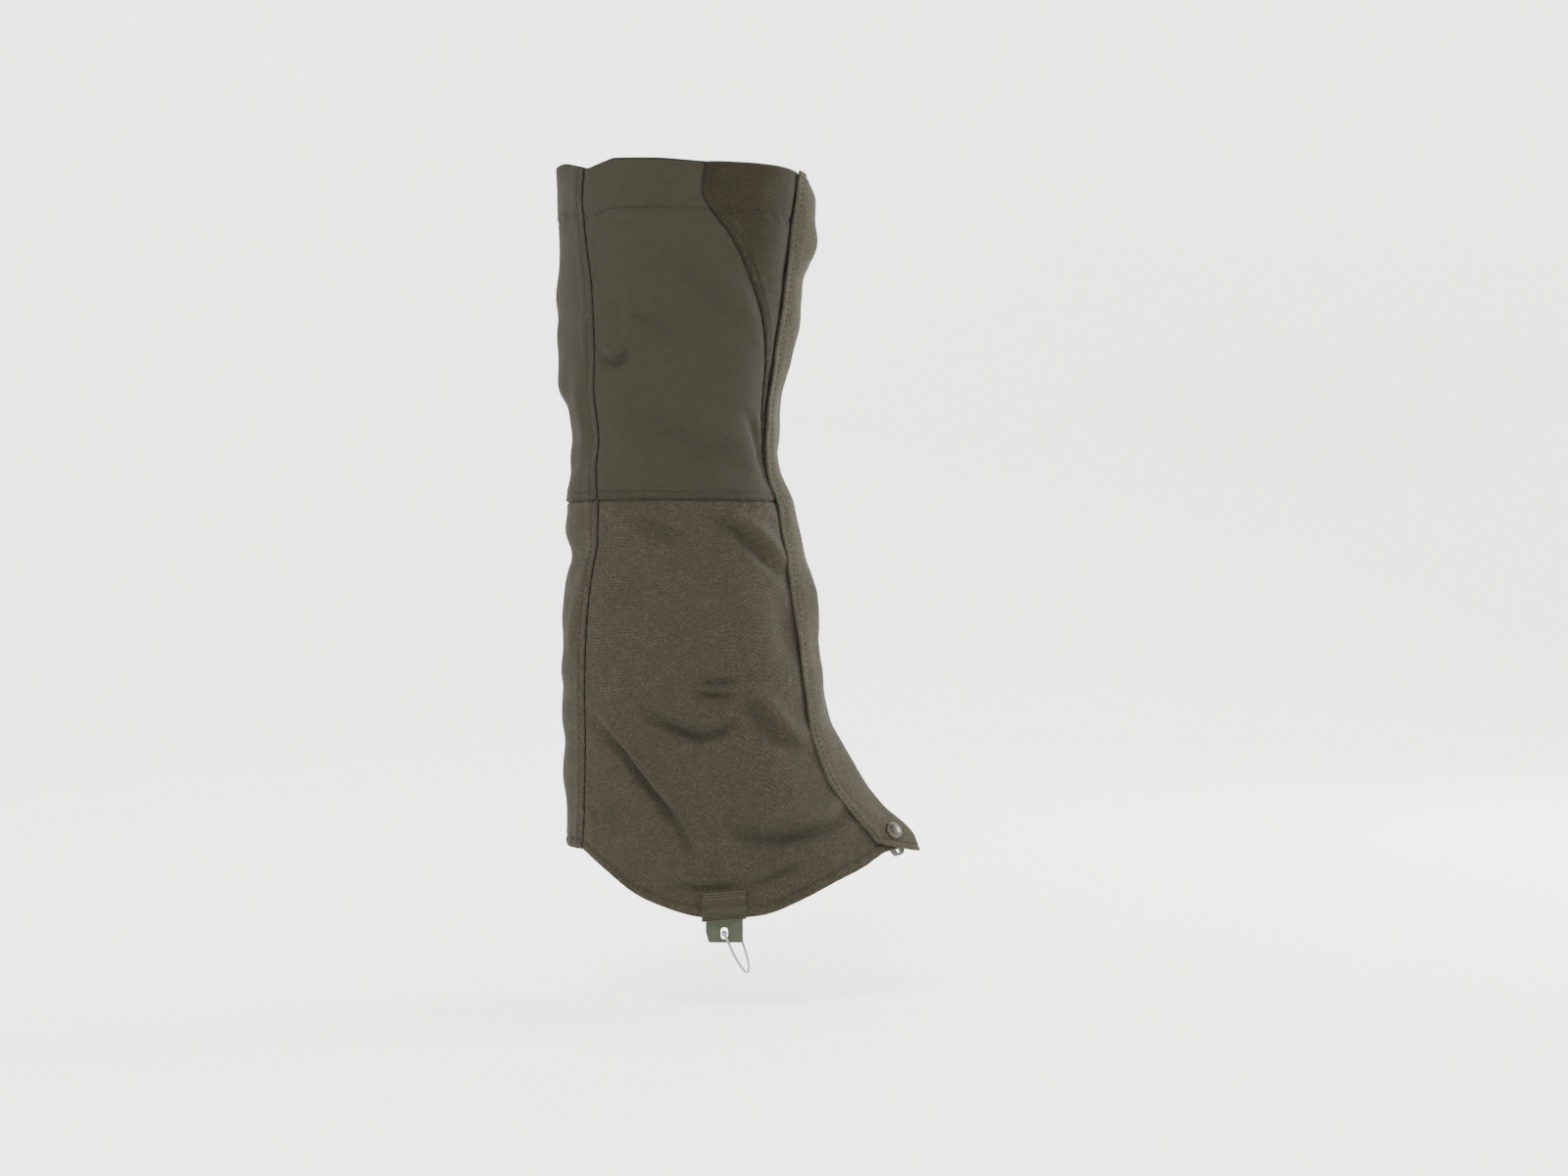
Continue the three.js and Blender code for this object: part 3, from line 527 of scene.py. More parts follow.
# ---- Seams ----
# Panels meet in lapped seams: the upper layer's edge is folded under and topstitched, so it
# stands a little proud, and the lower layer dips to meet it and runs on underneath.
LAP = 3
FOLD_WIDTH = 6
OVER_RAISE = 0.45
UNDER_DIP = 1.1
EDGE_STITCH = 1.6
TOPSTITCH = 4.6
HEM_STITCH = 5
RIM_TUNNEL = 27
WORN_FROM = 385


def seam_relief(distance, style, along):
    """How far the cloth stands proud or dips at a distance from a seamed edge."""
    if style == "over":
        raised = OVER_RAISE * (0.5 + 0.5 * np.cos(np.clip((distance - FOLD_WIDTH) / 5, 0, 1) * math.pi))
        rolled = -0.5 * np.exp(-(distance / 0.4) ** 2)
        pulled = -0.3 * np.exp(-((distance - TOPSTITCH) / 0.9) ** 2)
        pucker = 0.16 * np.sin(along / 8 * 2 * math.pi + 2 * np.sin(along / 37)) * np.exp(-distance / 6)
        return raised + rolled + pulled + pucker
    if style == "under":
        covered = distance - LAP
        dip = -UNDER_DIP * (1 - 1 / (1 + np.exp(-(covered - 1.1) / 0.3)))
        pucker = 0.2 * np.sin(along / 9 * 2 * math.pi + 1) * np.exp(-np.maximum(covered, 0) / 5)
        return dip + pucker
    if style in ("hem", "rim"):
        line = HEM_STITCH if style == "hem" else RIM_TUNNEL
        pulled = -0.5 * np.exp(-((distance - line) / 1.1) ** 2)
        full = 0.35 * np.sin(np.clip(distance / line, 0, 1) * math.pi)
        pucker = 0.3 * np.sin(along / 11 * 2 * math.pi + 1.5 * np.sin(along / 29))
        return pulled + full + pucker * np.exp(-((distance - line) / 5) ** 2)
    return np.zeros_like(distance)


def worn_rim(grid):
    """Lets the rim rise and dip a little round the back seam, as soft cloth does."""
    place = [-99, -92, -78, -63, -35, -10, 15, 43]
    rise = [3.5, 3.0, -2.2, 2.4, 1.0, -0.6, 0, 0]
    share = np.clip((grid[..., 2] - WORN_FROM) / (RIM - WORN_FROM), 0, 1) ** 2
    lift = np.interp(grid[..., 0], place, rise) * share
    return np.stack([grid[..., 0], grid[..., 1], grid[..., 2] + lift], axis=-1)


def finish_panel(grid, edges, push):
    """Pushes a panel's grid in and out by its folds and its seams. Edges gives the style of
    the rear, front, foot and top edges."""
    across, up = run_lengths(grid, 1), run_lengths(grid, 0)
    total = push.copy()
    relief = np.zeros_like(push)
    for style, distance, along in (
            (edges[0], across, up), (edges[1], across[:, -1:] - across, up),
            (edges[2], up, across), (edges[3], up[-1:, :] - up, across)):
        relief += seam_relief(distance, style, along)
        if style in ("over", "under"):
            free = np.clip((distance - (LAP if style == "under" else 0)) / 9, 0, 1)
            total = total * free * free * (3 - 2 * free)
    total = total + relief
    return worn_rim(grid + facing(grid) * total[..., None])


def back_seam(z):
    """The angle of the seam between the side panels and the back ones."""
    return np.radians(read_line(BACK_SEAM, z))


def insert_seam(z):
    """The angle of the long curved seam behind the front insert."""
    return np.radians(read_line(INSERT_SEAM, z))


def lap_angle(z):
    """The angle round the section that is as long as the lap."""
    return LAP / read_line(HALF_WIDTH, z)


def mirrored(grid):
    """The same grid on the other side of the leg."""
    return grid[:, ::-1] * np.array([1, -1, 1])


GRAIN = 1.1
ANKLE_GROOVE = 0.3
ANKLE_GATHER = 0.22
ANKLE_GATHER_PITCH = 5


def steps(length):
    """How many grid steps a length of cloth is drawn with."""
    return int(length / GRAIN)


panel_plans = {
    "upper_panel": dict(
        rear=lambda z: back_seam(z) + lap_angle(z), front=lambda z: insert_seam(z) - lap_angle(z),
        foot=lambda x: 0 * x + WAIST, top=RIM, columns=steps(125), rows=steps(188),
        edges=("under", "under", "over", "rim")),
    "front_insert": dict(
        rear=insert_seam, front=lambda z: angle_at_side(ZIP_CHANNEL, z),
        foot=lambda x: 0 * x + WAIST, top=RIM, columns=steps(60), rows=steps(188),
        edges=("over", "plain", "over", "rim")),
    "lower_panel": dict(
        rear=lambda z: back_seam(z) + lap_angle(z), front=lambda z: angle_at_side(ZIP_CHANNEL, z),
        foot=lambda x: read_line(HEM_LINE, x), top=WAIST + LAP, columns=steps(165), rows=steps(225),
        edges=("under", "plain", "hem", "under")),
}
panel_grids = {}
for part, plan in panel_plans.items():
    base = lay_panel(plan["rear"], plan["front"], plan["foot"], plan["top"], plan["columns"], plan["rows"])
    for side, folds, seed in (("outer", OUTER_FOLDS, 3), ("inner", INNER_FOLDS, 8)):
        push = creases(base[..., 0], base[..., 2], folds)
        push += unevenness(base[..., 0], base[..., 2], 42, 0.42, seed)
        push += unevenness(base[..., 0], base[..., 2], 15, 0.12, seed + 1)
        above_ankle = base[..., 2] - ANKLE
        push -= ANKLE_GROOVE * np.exp(-(above_ankle / 1.4) ** 2)
        gathers = np.sin(base[..., 0] / ANKLE_GATHER_PITCH * 2 * math.pi)
        push += ANKLE_GATHER * gathers * np.exp(-(above_ankle / 5) ** 2)
        grid = finish_panel(base, plan["edges"], push)
        panel_grids[side + "_" + part] = grid if side == "outer" else mirrored(grid)
for part, foot, top, edges in (
        ("upper", lambda x: 0 * x + WAIST, RIM, ("over", "over", "over", "rim")),
        ("lower", lambda x: 0 * x + BACK_HEM, WAIST + LAP, ("over", "over", "hem", "under"))):
    base = lay_panel(lambda z: 2 * math.pi - back_seam(z), back_seam, foot, top, steps(92), steps(190))
    push = creases(base[..., 1], base[..., 2], BACK_FOLDS)
    push += unevenness(base[..., 1] + 300, base[..., 2], 34, 0.32, 21)
    panel_grids["back_" + part + "_panel"] = finish_panel(base, edges, push)


for name, grid in panel_grids.items():
    outside = coarse_cloth if "lower" in name else insert_cloth if "insert" in name else smooth_cloth
    panel = cloth_object(name + "_cloth", [grid], [outside, coated_cloth])
    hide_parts(name)
    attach(panel, "shell")


# ---- Turned hems ----
# The rim and the hem are the panels' own cloth, rolled over the edge and sewn down inside:
# 27 mm at the rim, as a tunnel for the elastic, and 10 mm along the bottom.
RIM_ROLL = 1.5
HEM_ROLL = 1.1
HEM_TURN = 10
FACING_THICK = 0.6


def turned_edge(grid, at_top, width, radius):
    """The strip that rolls over a panel's top or foot and lies inside it, from the inside out."""
    rows = grid if not at_top else grid[::-1]
    reach = run_lengths(rows, 0)[:, rows.shape[1] // 2]
    kept = int(np.searchsorted(reach, width))
    normal = facing(grid)
    normal = normal if not at_top else normal[::-1]
    inner = rows[:kept:3] - normal[:kept:3] * (2 * radius + 0.1)
    off_edge = rows[0] - rows[1]
    off_edge /= np.linalg.norm(off_edge, axis=-1)[:, None]
    centre = rows[0] - normal[0] * radius
    roll = [centre + radius * (normal[0] * math.cos(a) + off_edge * math.sin(a))
            for a in np.linspace(0, math.pi, 9)]
    strip = np.concatenate([inner[::-1], np.array(roll)[::-1]])
    return strip[::-1] if at_top else strip


rim_grids = [turned_edge(panel_grids[n], True, RIM_TUNNEL, RIM_ROLL)
             for n in ("outer_upper_panel", "outer_front_insert", "inner_upper_panel",
                       "inner_front_insert", "back_upper_panel")]
rim_facing = cloth_object("top_tunnel", rim_grids, [coated_cloth, smooth_cloth], FACING_THICK)
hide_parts("top_hem_facing")
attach(rim_facing, "shell")
for side in ("outer", "inner", "back"):
    strip = turned_edge(panel_grids[side + "_lower_panel"], False, HEM_TURN, HEM_ROLL)
    hem = cloth_object(side + "_turned_hem", [strip], [coarse_cloth, coated_cloth], FACING_THICK)
    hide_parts(side + "_hem_facing")
    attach(hem, "shell")


# ---- Elastics ----
# Ribbed elastic tape: one band in the top tunnel and one sewn inside the ankle, where it
# gathers the cloth into its small creases.
def elastic_tape():
    """Knitted elastic: fine ribs that run along the tape, of rubber thread covered in black yarn."""
    material, tree, shader = new_material("knitted_elastic")
    flat = add_node(tree, "ShaderNodeUVMap", uv_map="cloth")
    rib = add_node(tree, "ShaderNodeTexWave", {"Vector": flat.outputs[0], "Scale": 1 / (9 * MM),
                                               "Distortion": 0.6}, bands_direction="Y")
    tone = add_node(tree, "ShaderNodeMix", {0: rib.outputs["Fac"], 6: paint("131311"),
                                            7: paint("24231e")}, data_type="RGBA")
    bump = add_node(tree, "ShaderNodeBump", {"Strength": 0.6, "Distance": 0.3 * MM,
                                             "Height": rib.outputs["Fac"]})
    fill_inputs(tree, shader, {"Base Color": tone.outputs[2], "Normal": bump.outputs[0],
                               "Roughness": 0.85})
    return material


black_elastic = elastic_tape()
BAND_START = 16.5
ELASTIC_THICK = 0.6
GATHER = 0.12
GATHER_PITCH = 3.4
for node, depth in (("top_elastic", 1.5), ("ankle_elastic", 2.2)):
    low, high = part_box(node)
    heights = (low[2] / MM, high[2] / MM)
    band = lay_panel(lambda z: 2 * math.pi - angle_at_side(BAND_START, z),
                     lambda z: angle_at_side(BAND_START, z),
                     lambda x: 0 * x + heights[0], heights[1], 260, 10)
    around = run_lengths(band, 1)
    band = band - facing(band) * (depth + GATHER * np.sin(around / GATHER_PITCH * 2 * math.pi))[..., None]
    elastic = cloth_object(node + "_tape", [band], [black_elastic], ELASTIC_THICK)
    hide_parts(node)
    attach(elastic, "shell")


# ---- Front flap ----
# A double layer of the coarse cloth, sewn down along the inner side of the shin and free on
# the outer side, where it closes with hook tape and one snap. It bulges over the zip.
FLAP_THICK = 1.5
FLAP_FOOT = 32
FLAP_FOOT_DROP = 6
FLAP_PROUD = 1.5
EDGE_ROOM = 1.2
SEWN_ROOM = 0.9
FLAP_STITCH = 4
SEWN_STITCH = 2.5


def flap_lift(y, z):
    """How far the flap's outer face stands in front of the shell."""
    ridge = read_line(RIDGE_LINE, z) - read_line(FRONT_LINE, z)
    width = np.where(y < 0, FLAP_EDGE, FLAP_SEWN)
    edge = FLAP_THICK + np.where(y < 0, EDGE_ROOM, SEWN_ROOM)
    return edge + (ridge - edge) * np.sin(np.clip(1 - np.abs(y) / width, 0, 1) * math.pi / 2)


def flap_point(y, z):
    """Points on the flap's outer face, this far from the middle plane."""
    return np.stack([front_place(y, z) + flap_lift(y, z), y, z], axis=-1)


flap_across = np.linspace(-FLAP_EDGE, FLAP_SEWN, steps(52) + 1)[None, :]
flap_up = np.linspace(0, 1, steps(420) + 1)[:, None]
flap_foot = FLAP_FOOT + FLAP_FOOT_DROP * (np.abs(flap_across) / FLAP_EDGE) ** 1.5
flap_z = flap_foot * (1 - flap_up) + (RIM + FLAP_PROUD) * flap_up
flap_grid = flap_point(flap_across + 0 * flap_z, flap_z)
flap_push = unevenness(flap_grid[..., 1], flap_z, 26, 0.55, 31)
flap_push *= np.clip((FLAP_SEWN - flap_grid[..., 1]) / 12, 0, 1)
flap_push += unevenness(flap_grid[..., 1], flap_z, 11, 0.12, 32)
for distance, line in ((flap_grid[..., 1] + FLAP_EDGE, FLAP_STITCH),
                       (FLAP_SEWN - flap_grid[..., 1], SEWN_STITCH)):
    flap_push -= 0.45 * np.exp(-((distance - line) / 1.0) ** 2)
flap_grid = flap_grid + facing(flap_grid) * flap_push[..., None]
flap = cloth_object("storm_flap", [flap_grid], [lit_flap_cloth, coated_cloth], FLAP_THICK)
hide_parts("front_flap")
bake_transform(flap)


# ---- Stitches ----
# Lockstitch in bonded nylon, a shade darker than the cloth, about eight stitches to the inch.
# Each stitch is a short rounded bar that bites into the cloth at both ends.
STITCH_PITCH = 3.3
STITCH_LENGTH = 2.5
STITCH_RADIUS = 0.3
STITCH_LIFT = 0.12
INSERT_STITCH = 2.6
FRONT_STITCH = 2.0


def nylon_thread():
    """Bonded nylon: smooth, a little glossy, with the twist of its plies."""
    material, tree, shader = new_material("bonded_nylon_thread")
    where = add_node(tree, "ShaderNodeTexCoord")
    twist_mark = add_node(tree, "ShaderNodeTexNoise", {"Vector": where.outputs["Object"],
                                                       "Scale": 1 / (0.7 * MM)})
    tone = add_node(tree, "ShaderNodeMix", {0: twist_mark.outputs["Fac"], 6: paint("0f0e0a"),
                                            7: paint("1f1d16")}, data_type="RGBA")
    fill_inputs(tree, shader, {"Base Color": tone.outputs[2], "Roughness": 0.75,
                               "Specular IOR Level": 0.2})
    return material


thread = nylon_thread()


def name_inputs(tree, shape, sizes):
    """Names a tree's inputs, a shape and its sizes, and returns each size by its identifier."""
    tree.interface.new_socket(shape, in_out="INPUT", socket_type="NodeSocketGeometry")
    chosen = {}
    for label, value in sizes.items():
        size = tree.interface.new_socket(label, in_out="INPUT", socket_type="NodeSocketFloat")
        size.default_value = value
        chosen[size.identifier] = value
    tree.interface.new_socket("Result", in_out="OUTPUT", socket_type="NodeSocketGeometry")
    return chosen


def stitch_tree(material):
    """Places a stitch at every pitch along each line of a wire mesh, turned to follow it."""
    tree = bpy.data.node_groups.new("stitches", "GeometryNodeTree")
    sizes = name_inputs(tree, "Lines", {"Pitch": STITCH_PITCH * MM, "Length": STITCH_LENGTH * MM,
                                        "Radius": STITCH_RADIUS * MM})
    given = add_node(tree, "NodeGroupInput")
    curve = add_node(tree, "GeometryNodeMeshToCurve", {0: given.outputs["Lines"]})
    spots = add_node(tree, "GeometryNodeCurveToPoints",
                     {"Curve": curve.outputs[0], "Length": given.outputs["Pitch"]}, mode="LENGTH")
    aim = add_node(tree, "FunctionNodeAlignRotationToVector",
                   {"Vector": spots.outputs["Tangent"]}, axis="X")
    bead = add_node(tree, "GeometryNodeMeshUVSphere", {"Segments": 8, "Rings": 6, "Radius": 1.0})
    half = add_node(tree, "ShaderNodeMath", {0: given.outputs["Length"], 1: 0.5}, operation="MULTIPLY")
    size = add_node(tree, "ShaderNodeCombineXYZ", {0: half.outputs[0], 1: given.outputs["Radius"],
                                                   2: given.outputs["Radius"]})
    bar = add_node(tree, "GeometryNodeTransform", {"Geometry": bead.outputs["Mesh"],
                                                   "Scale": size.outputs[0]})
    placed = add_node(tree, "GeometryNodeInstanceOnPoints", {"Points": spots.outputs["Points"],
                                                             "Instance": bar.outputs[0],
                                                             "Rotation": aim.outputs[0]})
    real = add_node(tree, "GeometryNodeRealizeInstances", {0: placed.outputs[0]})
    coloured = add_node(tree, "GeometryNodeSetMaterial",
                        {"Geometry": real.outputs[0], "Material": material})
    add_node(tree, "NodeGroupOutput", {0: coloured.outputs[0]})
    return tree, sizes


def grow(name, source, tree, sizes):
    """Runs a geometry tree on a mesh of lines or faces and keeps the result as a plain mesh."""
    modifier = source.modifiers.new("grow", "NODES")
    modifier.node_group = tree
    for identifier, value in sizes.items():
        modifier[identifier] = value
    ready = source.evaluated_get(bpy.context.evaluated_depsgraph_get())
    mesh = bpy.data.meshes.new_from_object(ready)
    mesh.name = name
    mesh.shade_smooth()
    made = bpy.data.objects.new(name, mesh)
    bpy.context.scene.collection.objects.link(made)
    bpy.data.objects.remove(source)
    return made


def line_mesh(name, lines):
    """Open lines of points in millimetres as one mesh of edges."""
    mesh = bpy.data.meshes.new(name)
    points, edges = [], []
    for line in lines:
        start = len(points)
        points += (np.asarray(line) * MM).tolist()
        edges += [(start + i, start + i + 1) for i in range(len(line) - 1)]
    mesh.from_pydata(points, edges, [])
    made = bpy.data.objects.new(name, mesh)
    bpy.context.scene.collection.objects.link(made)
    return made


def line_on(grid, edge, distance):
    """The line on a panel's outer face that keeps a distance from one of its edges."""
    points = grid + facing(grid) * STITCH_LIFT
    if edge in ("foot", "top"):
        points = points.transpose(1, 0, 2)
    if edge in ("top", "front"):
        points = points[:, ::-1]
    line = []
    for row in points:
        run = np.concatenate([[0], np.cumsum(np.linalg.norm(np.diff(row, axis=0), axis=1))])
        line.append([np.interp(distance, run, row[:, k]) for k in range(3)])
    return np.array(line)


stitch_lines = []
for side in ("outer", "inner"):
    ahead, behind = ("front", "rear") if side == "outer" else ("rear", "front")
    upper, insert, lower = (panel_grids[side + part]
                            for part in ("_upper_panel", "_front_insert", "_lower_panel"))
    for grid in (upper, insert):
        stitch_lines += [line_on(grid, "foot", EDGE_STITCH), line_on(grid, "foot", TOPSTITCH),
                         line_on(grid, "top", RIM_TUNNEL)]
    stitch_lines += [line_on(insert, behind, INSERT_STITCH), line_on(insert, ahead, FRONT_STITCH),
                     line_on(lower, "foot", HEM_STITCH), line_on(lower, ahead, FRONT_STITCH)]
back_upper, back_lower = panel_grids["back_upper_panel"], panel_grids["back_lower_panel"]
stitch_lines += [line_on(grid, edge, TOPSTITCH) for grid in (back_upper, back_lower)
                 for edge in ("rear", "front")]
stitch_lines += [line_on(back_upper, "foot", EDGE_STITCH), line_on(back_upper, "foot", TOPSTITCH),
                 line_on(back_upper, "top", RIM_TUNNEL), line_on(back_lower, "foot", HEM_STITCH)]
stitching, stitch_sizes = stitch_tree(thread)
shell_stitches = grow("shell_stitches", line_mesh("shell_seam_lines", stitch_lines), stitching, stitch_sizes)
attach(shell_stitches, "shell")
flap_lines = [line_on(flap_grid, "front", SEWN_STITCH)]
flap_lines += [line_on(flap_grid, edge, FLAP_STITCH) for edge in ("rear", "foot", "top")]
flap_stitches = grow("flap_stitches", line_mesh("flap_seam_lines", flap_lines), stitching, stitch_sizes)
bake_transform(flap_stitches)


# ---- Hook and loop tapes ----
# Two woven nylon tapes, 10 mm wide, that grip each other. The hook half is sewn under the
# flap's free edge and the softer loop half on the panels below it.
TAPE_THICK = 0.6
TUFT_HEIGHT = 0.35
TUFTS_PER_SQUARE_METRE = 480000.0
HOOK_ROOM = 0.5
LOOP_RAISE = 0.9


def pile_tape(name, dark, light):
    """Woven nylon tape with a raised pile, very matt, with painted shade between its tufts and
    lighter tops. The tufts are drawn coarser than real ones so that they show."""
    material, tree, shader = new_material(name)
    where = add_node(tree, "ShaderNodeTexCoord")
    tufts = add_node(tree, "ShaderNodeTexVoronoi", {"Vector": where.outputs["Object"],
                                                    "Scale": 1 / (1.1 * MM)})
    # Painted shade: darker toward the edge of each tuft's cell, lighter at its top.
    tone = add_node(tree, "ShaderNodeMix", {0: tufts.outputs["Distance"], 6: paint(light),
                                            7: paint(dark)}, data_type="RGBA")
    bump = add_node(tree, "ShaderNodeBump", {"Strength": 0.8, "Distance": 0.4 * MM,
                                             "Height": tufts.outputs["Distance"]}, invert=True)
    fill_inputs(tree, shader, {"Base Color": tone.outputs[2], "Normal": bump.outputs[0],
                               "Roughness": 0.95})
    return material


def tuft_tree(material):
    """Scatters tiny tufts over a strip, each standing up from its surface."""
    tree = bpy.data.node_groups.new("tufts", "GeometryNodeTree")
    sizes = name_inputs(tree, "Tape", {"Density": TUFTS_PER_SQUARE_METRE, "Height": TUFT_HEIGHT * MM})
    given = add_node(tree, "NodeGroupInput")
    spots = add_node(tree, "GeometryNodeDistributePointsOnFaces",
                     {"Mesh": given.outputs["Tape"], "Density": given.outputs["Density"], "Seed": 5})
    tuft = add_node(tree, "GeometryNodeMeshUVSphere", {"Segments": 5, "Rings": 4,
                                                       "Radius": given.outputs["Height"]})
    placed = add_node(tree, "GeometryNodeInstanceOnPoints",
                      {"Points": spots.outputs["Points"], "Instance": tuft.outputs["Mesh"],
                       "Rotation": spots.outputs["Rotation"]})
    both = add_node(tree, "GeometryNodeJoinGeometry", {0: given.outputs["Tape"]})
    tree.links.new(placed.outputs[0], both.inputs[0])
    real = add_node(tree, "GeometryNodeRealizeInstances", {0: both.outputs[0]})
    coloured = add_node(tree, "GeometryNodeSetMaterial",
                        {"Geometry": real.outputs[0], "Material": material})
    add_node(tree, "NodeGroupOutput", {0: coloured.outputs[0]})
    return tree, sizes


hook_pile = pile_tape("nylon_hook_tape", "121210", "232119")
loop_pile = pile_tape("nylon_loop_tape", "171610", "282620")
for node, material in (("flap_hook_tape", hook_pile), ("panel_loop_tape", loop_pile)):
    low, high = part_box(node)
    tape_y = np.linspace(low[1] / MM, high[1] / MM, 9)[None, :]
    tape_z = np.linspace(low[2] / MM, high[2] / MM, 170)[:, None]
    tape_y, tape_z = tape_y + 0 * tape_z, tape_z + 0 * tape_y
    on_flap = "flap" in node
    proud = flap_lift(tape_y, tape_z) - FLAP_THICK - HOOK_ROOM if on_flap else LOOP_RAISE
    strip = np.stack([front_place(tape_y, tape_z) + proud, tape_y, tape_z], axis=-1)
    tape = cloth_object(node + "_strip", [strip], [material], TAPE_THICK)
    tufting, tuft_sizes = tuft_tree(material)
    tape = grow(node + "_pile", tape, tufting, tuft_sizes)
    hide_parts(node)
    if on_flap:
        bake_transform(tape)
    else:
        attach(tape, "shell")


# ---- Zip ----
# A number five coil zip under the flap: woven tapes sewn behind the panels' front edges,
# and nylon coils that meet on the centre line. The coils stay closed in this model.
def woven_tape():
    """Polyester zip tape in a herringbone, drawn as slanting bands about 2 mm apart, to show."""
    material, tree, shader = new_material("polyester_zip_tape")
    flat = add_node(tree, "ShaderNodeUVMap", uv_map="cloth")
    bands = add_node(tree, "ShaderNodeTexWave", {"Vector": flat.outputs[0], "Scale": 1 / (5 * MM),
                                                 "Distortion": 1.2}, bands_direction="DIAGONAL")
    tone = add_node(tree, "ShaderNodeMix", {0: bands.outputs["Fac"], 6: paint("1c1b15"),
                                            7: paint("2b2921")}, data_type="RGBA")
    bump = add_node(tree, "ShaderNodeBump", {"Strength": 0.4, "Distance": 0.2 * MM,
                                             "Height": bands.outputs["Fac"]})
    fill_inputs(tree, shader, {"Base Color": tone.outputs[2], "Normal": bump.outputs[0],
                               "Roughness": 0.85})
    return material


def moulded_nylon():
    """Nylon monofilament: dark, smooth and slightly glossy."""
    material, tree, shader = new_material("nylon_coil")
    where = add_node(tree, "ShaderNodeTexCoord")
    streak = add_node(tree, "ShaderNodeTexNoise", {"Vector": where.outputs["Object"],
                                                   "Scale": 1 / (1.11 * MM)})
    tone = add_node(tree, "ShaderNodeMix", {0: streak.outputs["Fac"], 6: paint("181713"),
                                            7: paint("25241e")}, data_type="RGBA")
    fill_inputs(tree, shader, {"Base Color": tone.outputs[2], "Roughness": 0.38})
    return material


zip_cloth = woven_tape()
nylon_coil = moulded_nylon()
TAPE_DEPTH = 2.3
COIL_PITCH = 1.7
COIL_REACH = 3.0
COIL_DEPTH = 1.6
COIL_ASIDE = 1.25
for node in ("zip_tape_outer", "zip_tape_inner"):
    low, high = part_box(node)
    tape_y = np.linspace(low[1] / MM, high[1] / MM, 15)[None, :]
    tape_z = np.linspace(low[2] / MM, high[2] / MM, 190)[:, None]
    tape_y, tape_z = tape_y + 0 * tape_z, tape_z + 0 * tape_y
    strip = np.stack([front_place(tape_y, tape_z) - TAPE_DEPTH, tape_y, tape_z], axis=-1)
    tape = cloth_object(node + "_cloth", [strip], [zip_cloth], TAPE_THICK)
    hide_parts(node)
    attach(tape, "shell")


def coil_tree(material):
    """Places one turn of the coil at every pitch along a line, lying across it."""
    tree = bpy.data.node_groups.new("coil_turns", "GeometryNodeTree")
    sizes = name_inputs(tree, "Line", {"Pitch": COIL_PITCH * MM, "Width": COIL_REACH * MM})
    given = add_node(tree, "NodeGroupInput")
    curve = add_node(tree, "GeometryNodeMeshToCurve", {0: given.outputs["Line"]})
    spots = add_node(tree, "GeometryNodeCurveToPoints",
                     {"Curve": curve.outputs[0], "Length": given.outputs["Pitch"]}, mode="LENGTH")
    upright = add_node(tree, "FunctionNodeAlignRotationToVector",
                       {"Vector": spots.outputs["Tangent"]}, axis="Z")
    across = add_node(tree, "FunctionNodeAlignRotationToVector",
                      {"Rotation": upright.outputs[0], "Vector": (0, 1, 0)}, axis="Y")
    loop = add_node(tree, "GeometryNodeMeshUVSphere", {"Segments": 12, "Rings": 8, "Radius": 1.0})
    half = add_node(tree, "ShaderNodeMath", {0: given.outputs["Width"], 1: 0.5}, operation="MULTIPLY")
    size = add_node(tree, "ShaderNodeCombineXYZ", {0: 1.0 * MM, 1: half.outputs[0], 2: 0.55 * MM})
    turned = add_node(tree, "GeometryNodeTransform", {"Geometry": loop.outputs["Mesh"],
                                                      "Scale": size.outputs[0]})
    placed = add_node(tree, "GeometryNodeInstanceOnPoints", {"Points": spots.outputs["Points"],
                                                             "Instance": turned.outputs[0],
                                                             "Rotation": across.outputs[0]})
    real = add_node(tree, "GeometryNodeRealizeInstances", {0: placed.outputs[0]})
    coloured = add_node(tree, "GeometryNodeSetMaterial",
                        {"Geometry": real.outputs[0], "Material": material})
    add_node(tree, "NodeGroupOutput", {0: coloured.outputs[0]})
    return tree, sizes


coiling, coil_sizes = coil_tree(nylon_coil)
for side, node, offset in ((-1, "zip_coil_outer", 0), (1, "zip_coil_inner", COIL_PITCH / 2)):
    low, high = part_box(node)
    coil_z = np.arange(low[2] / MM + 1 + offset, high[2] / MM - 1, 2.0)
    line = np.stack([read_line(FRONT_LINE, coil_z) - COIL_DEPTH, 0 * coil_z + side * COIL_ASIDE,
                     coil_z], axis=-1)
    coil = grow(node + "_turns", line_mesh(node + "_line", [line]), coiling, coil_sizes)
    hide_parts(node)
    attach(coil, "shell")


# ---- Webbing at the hem ----
# Two plies of 25 mm ribbed polyester webbing, sewn through the hem with the plastic tab
# between them. Its ribs run across, and its selvedges are thicker than the middle.
WEBBING_WIDTH = 25
WEBBING_THICK = 1.2
RIB_PITCH = 1.5
RIB_HEIGHT = 0.5
WEBBING_FOOT = -2
WEBBING_TOP = 13.6
WEBBING_TILT = 0.07
HEM_REACH = 110


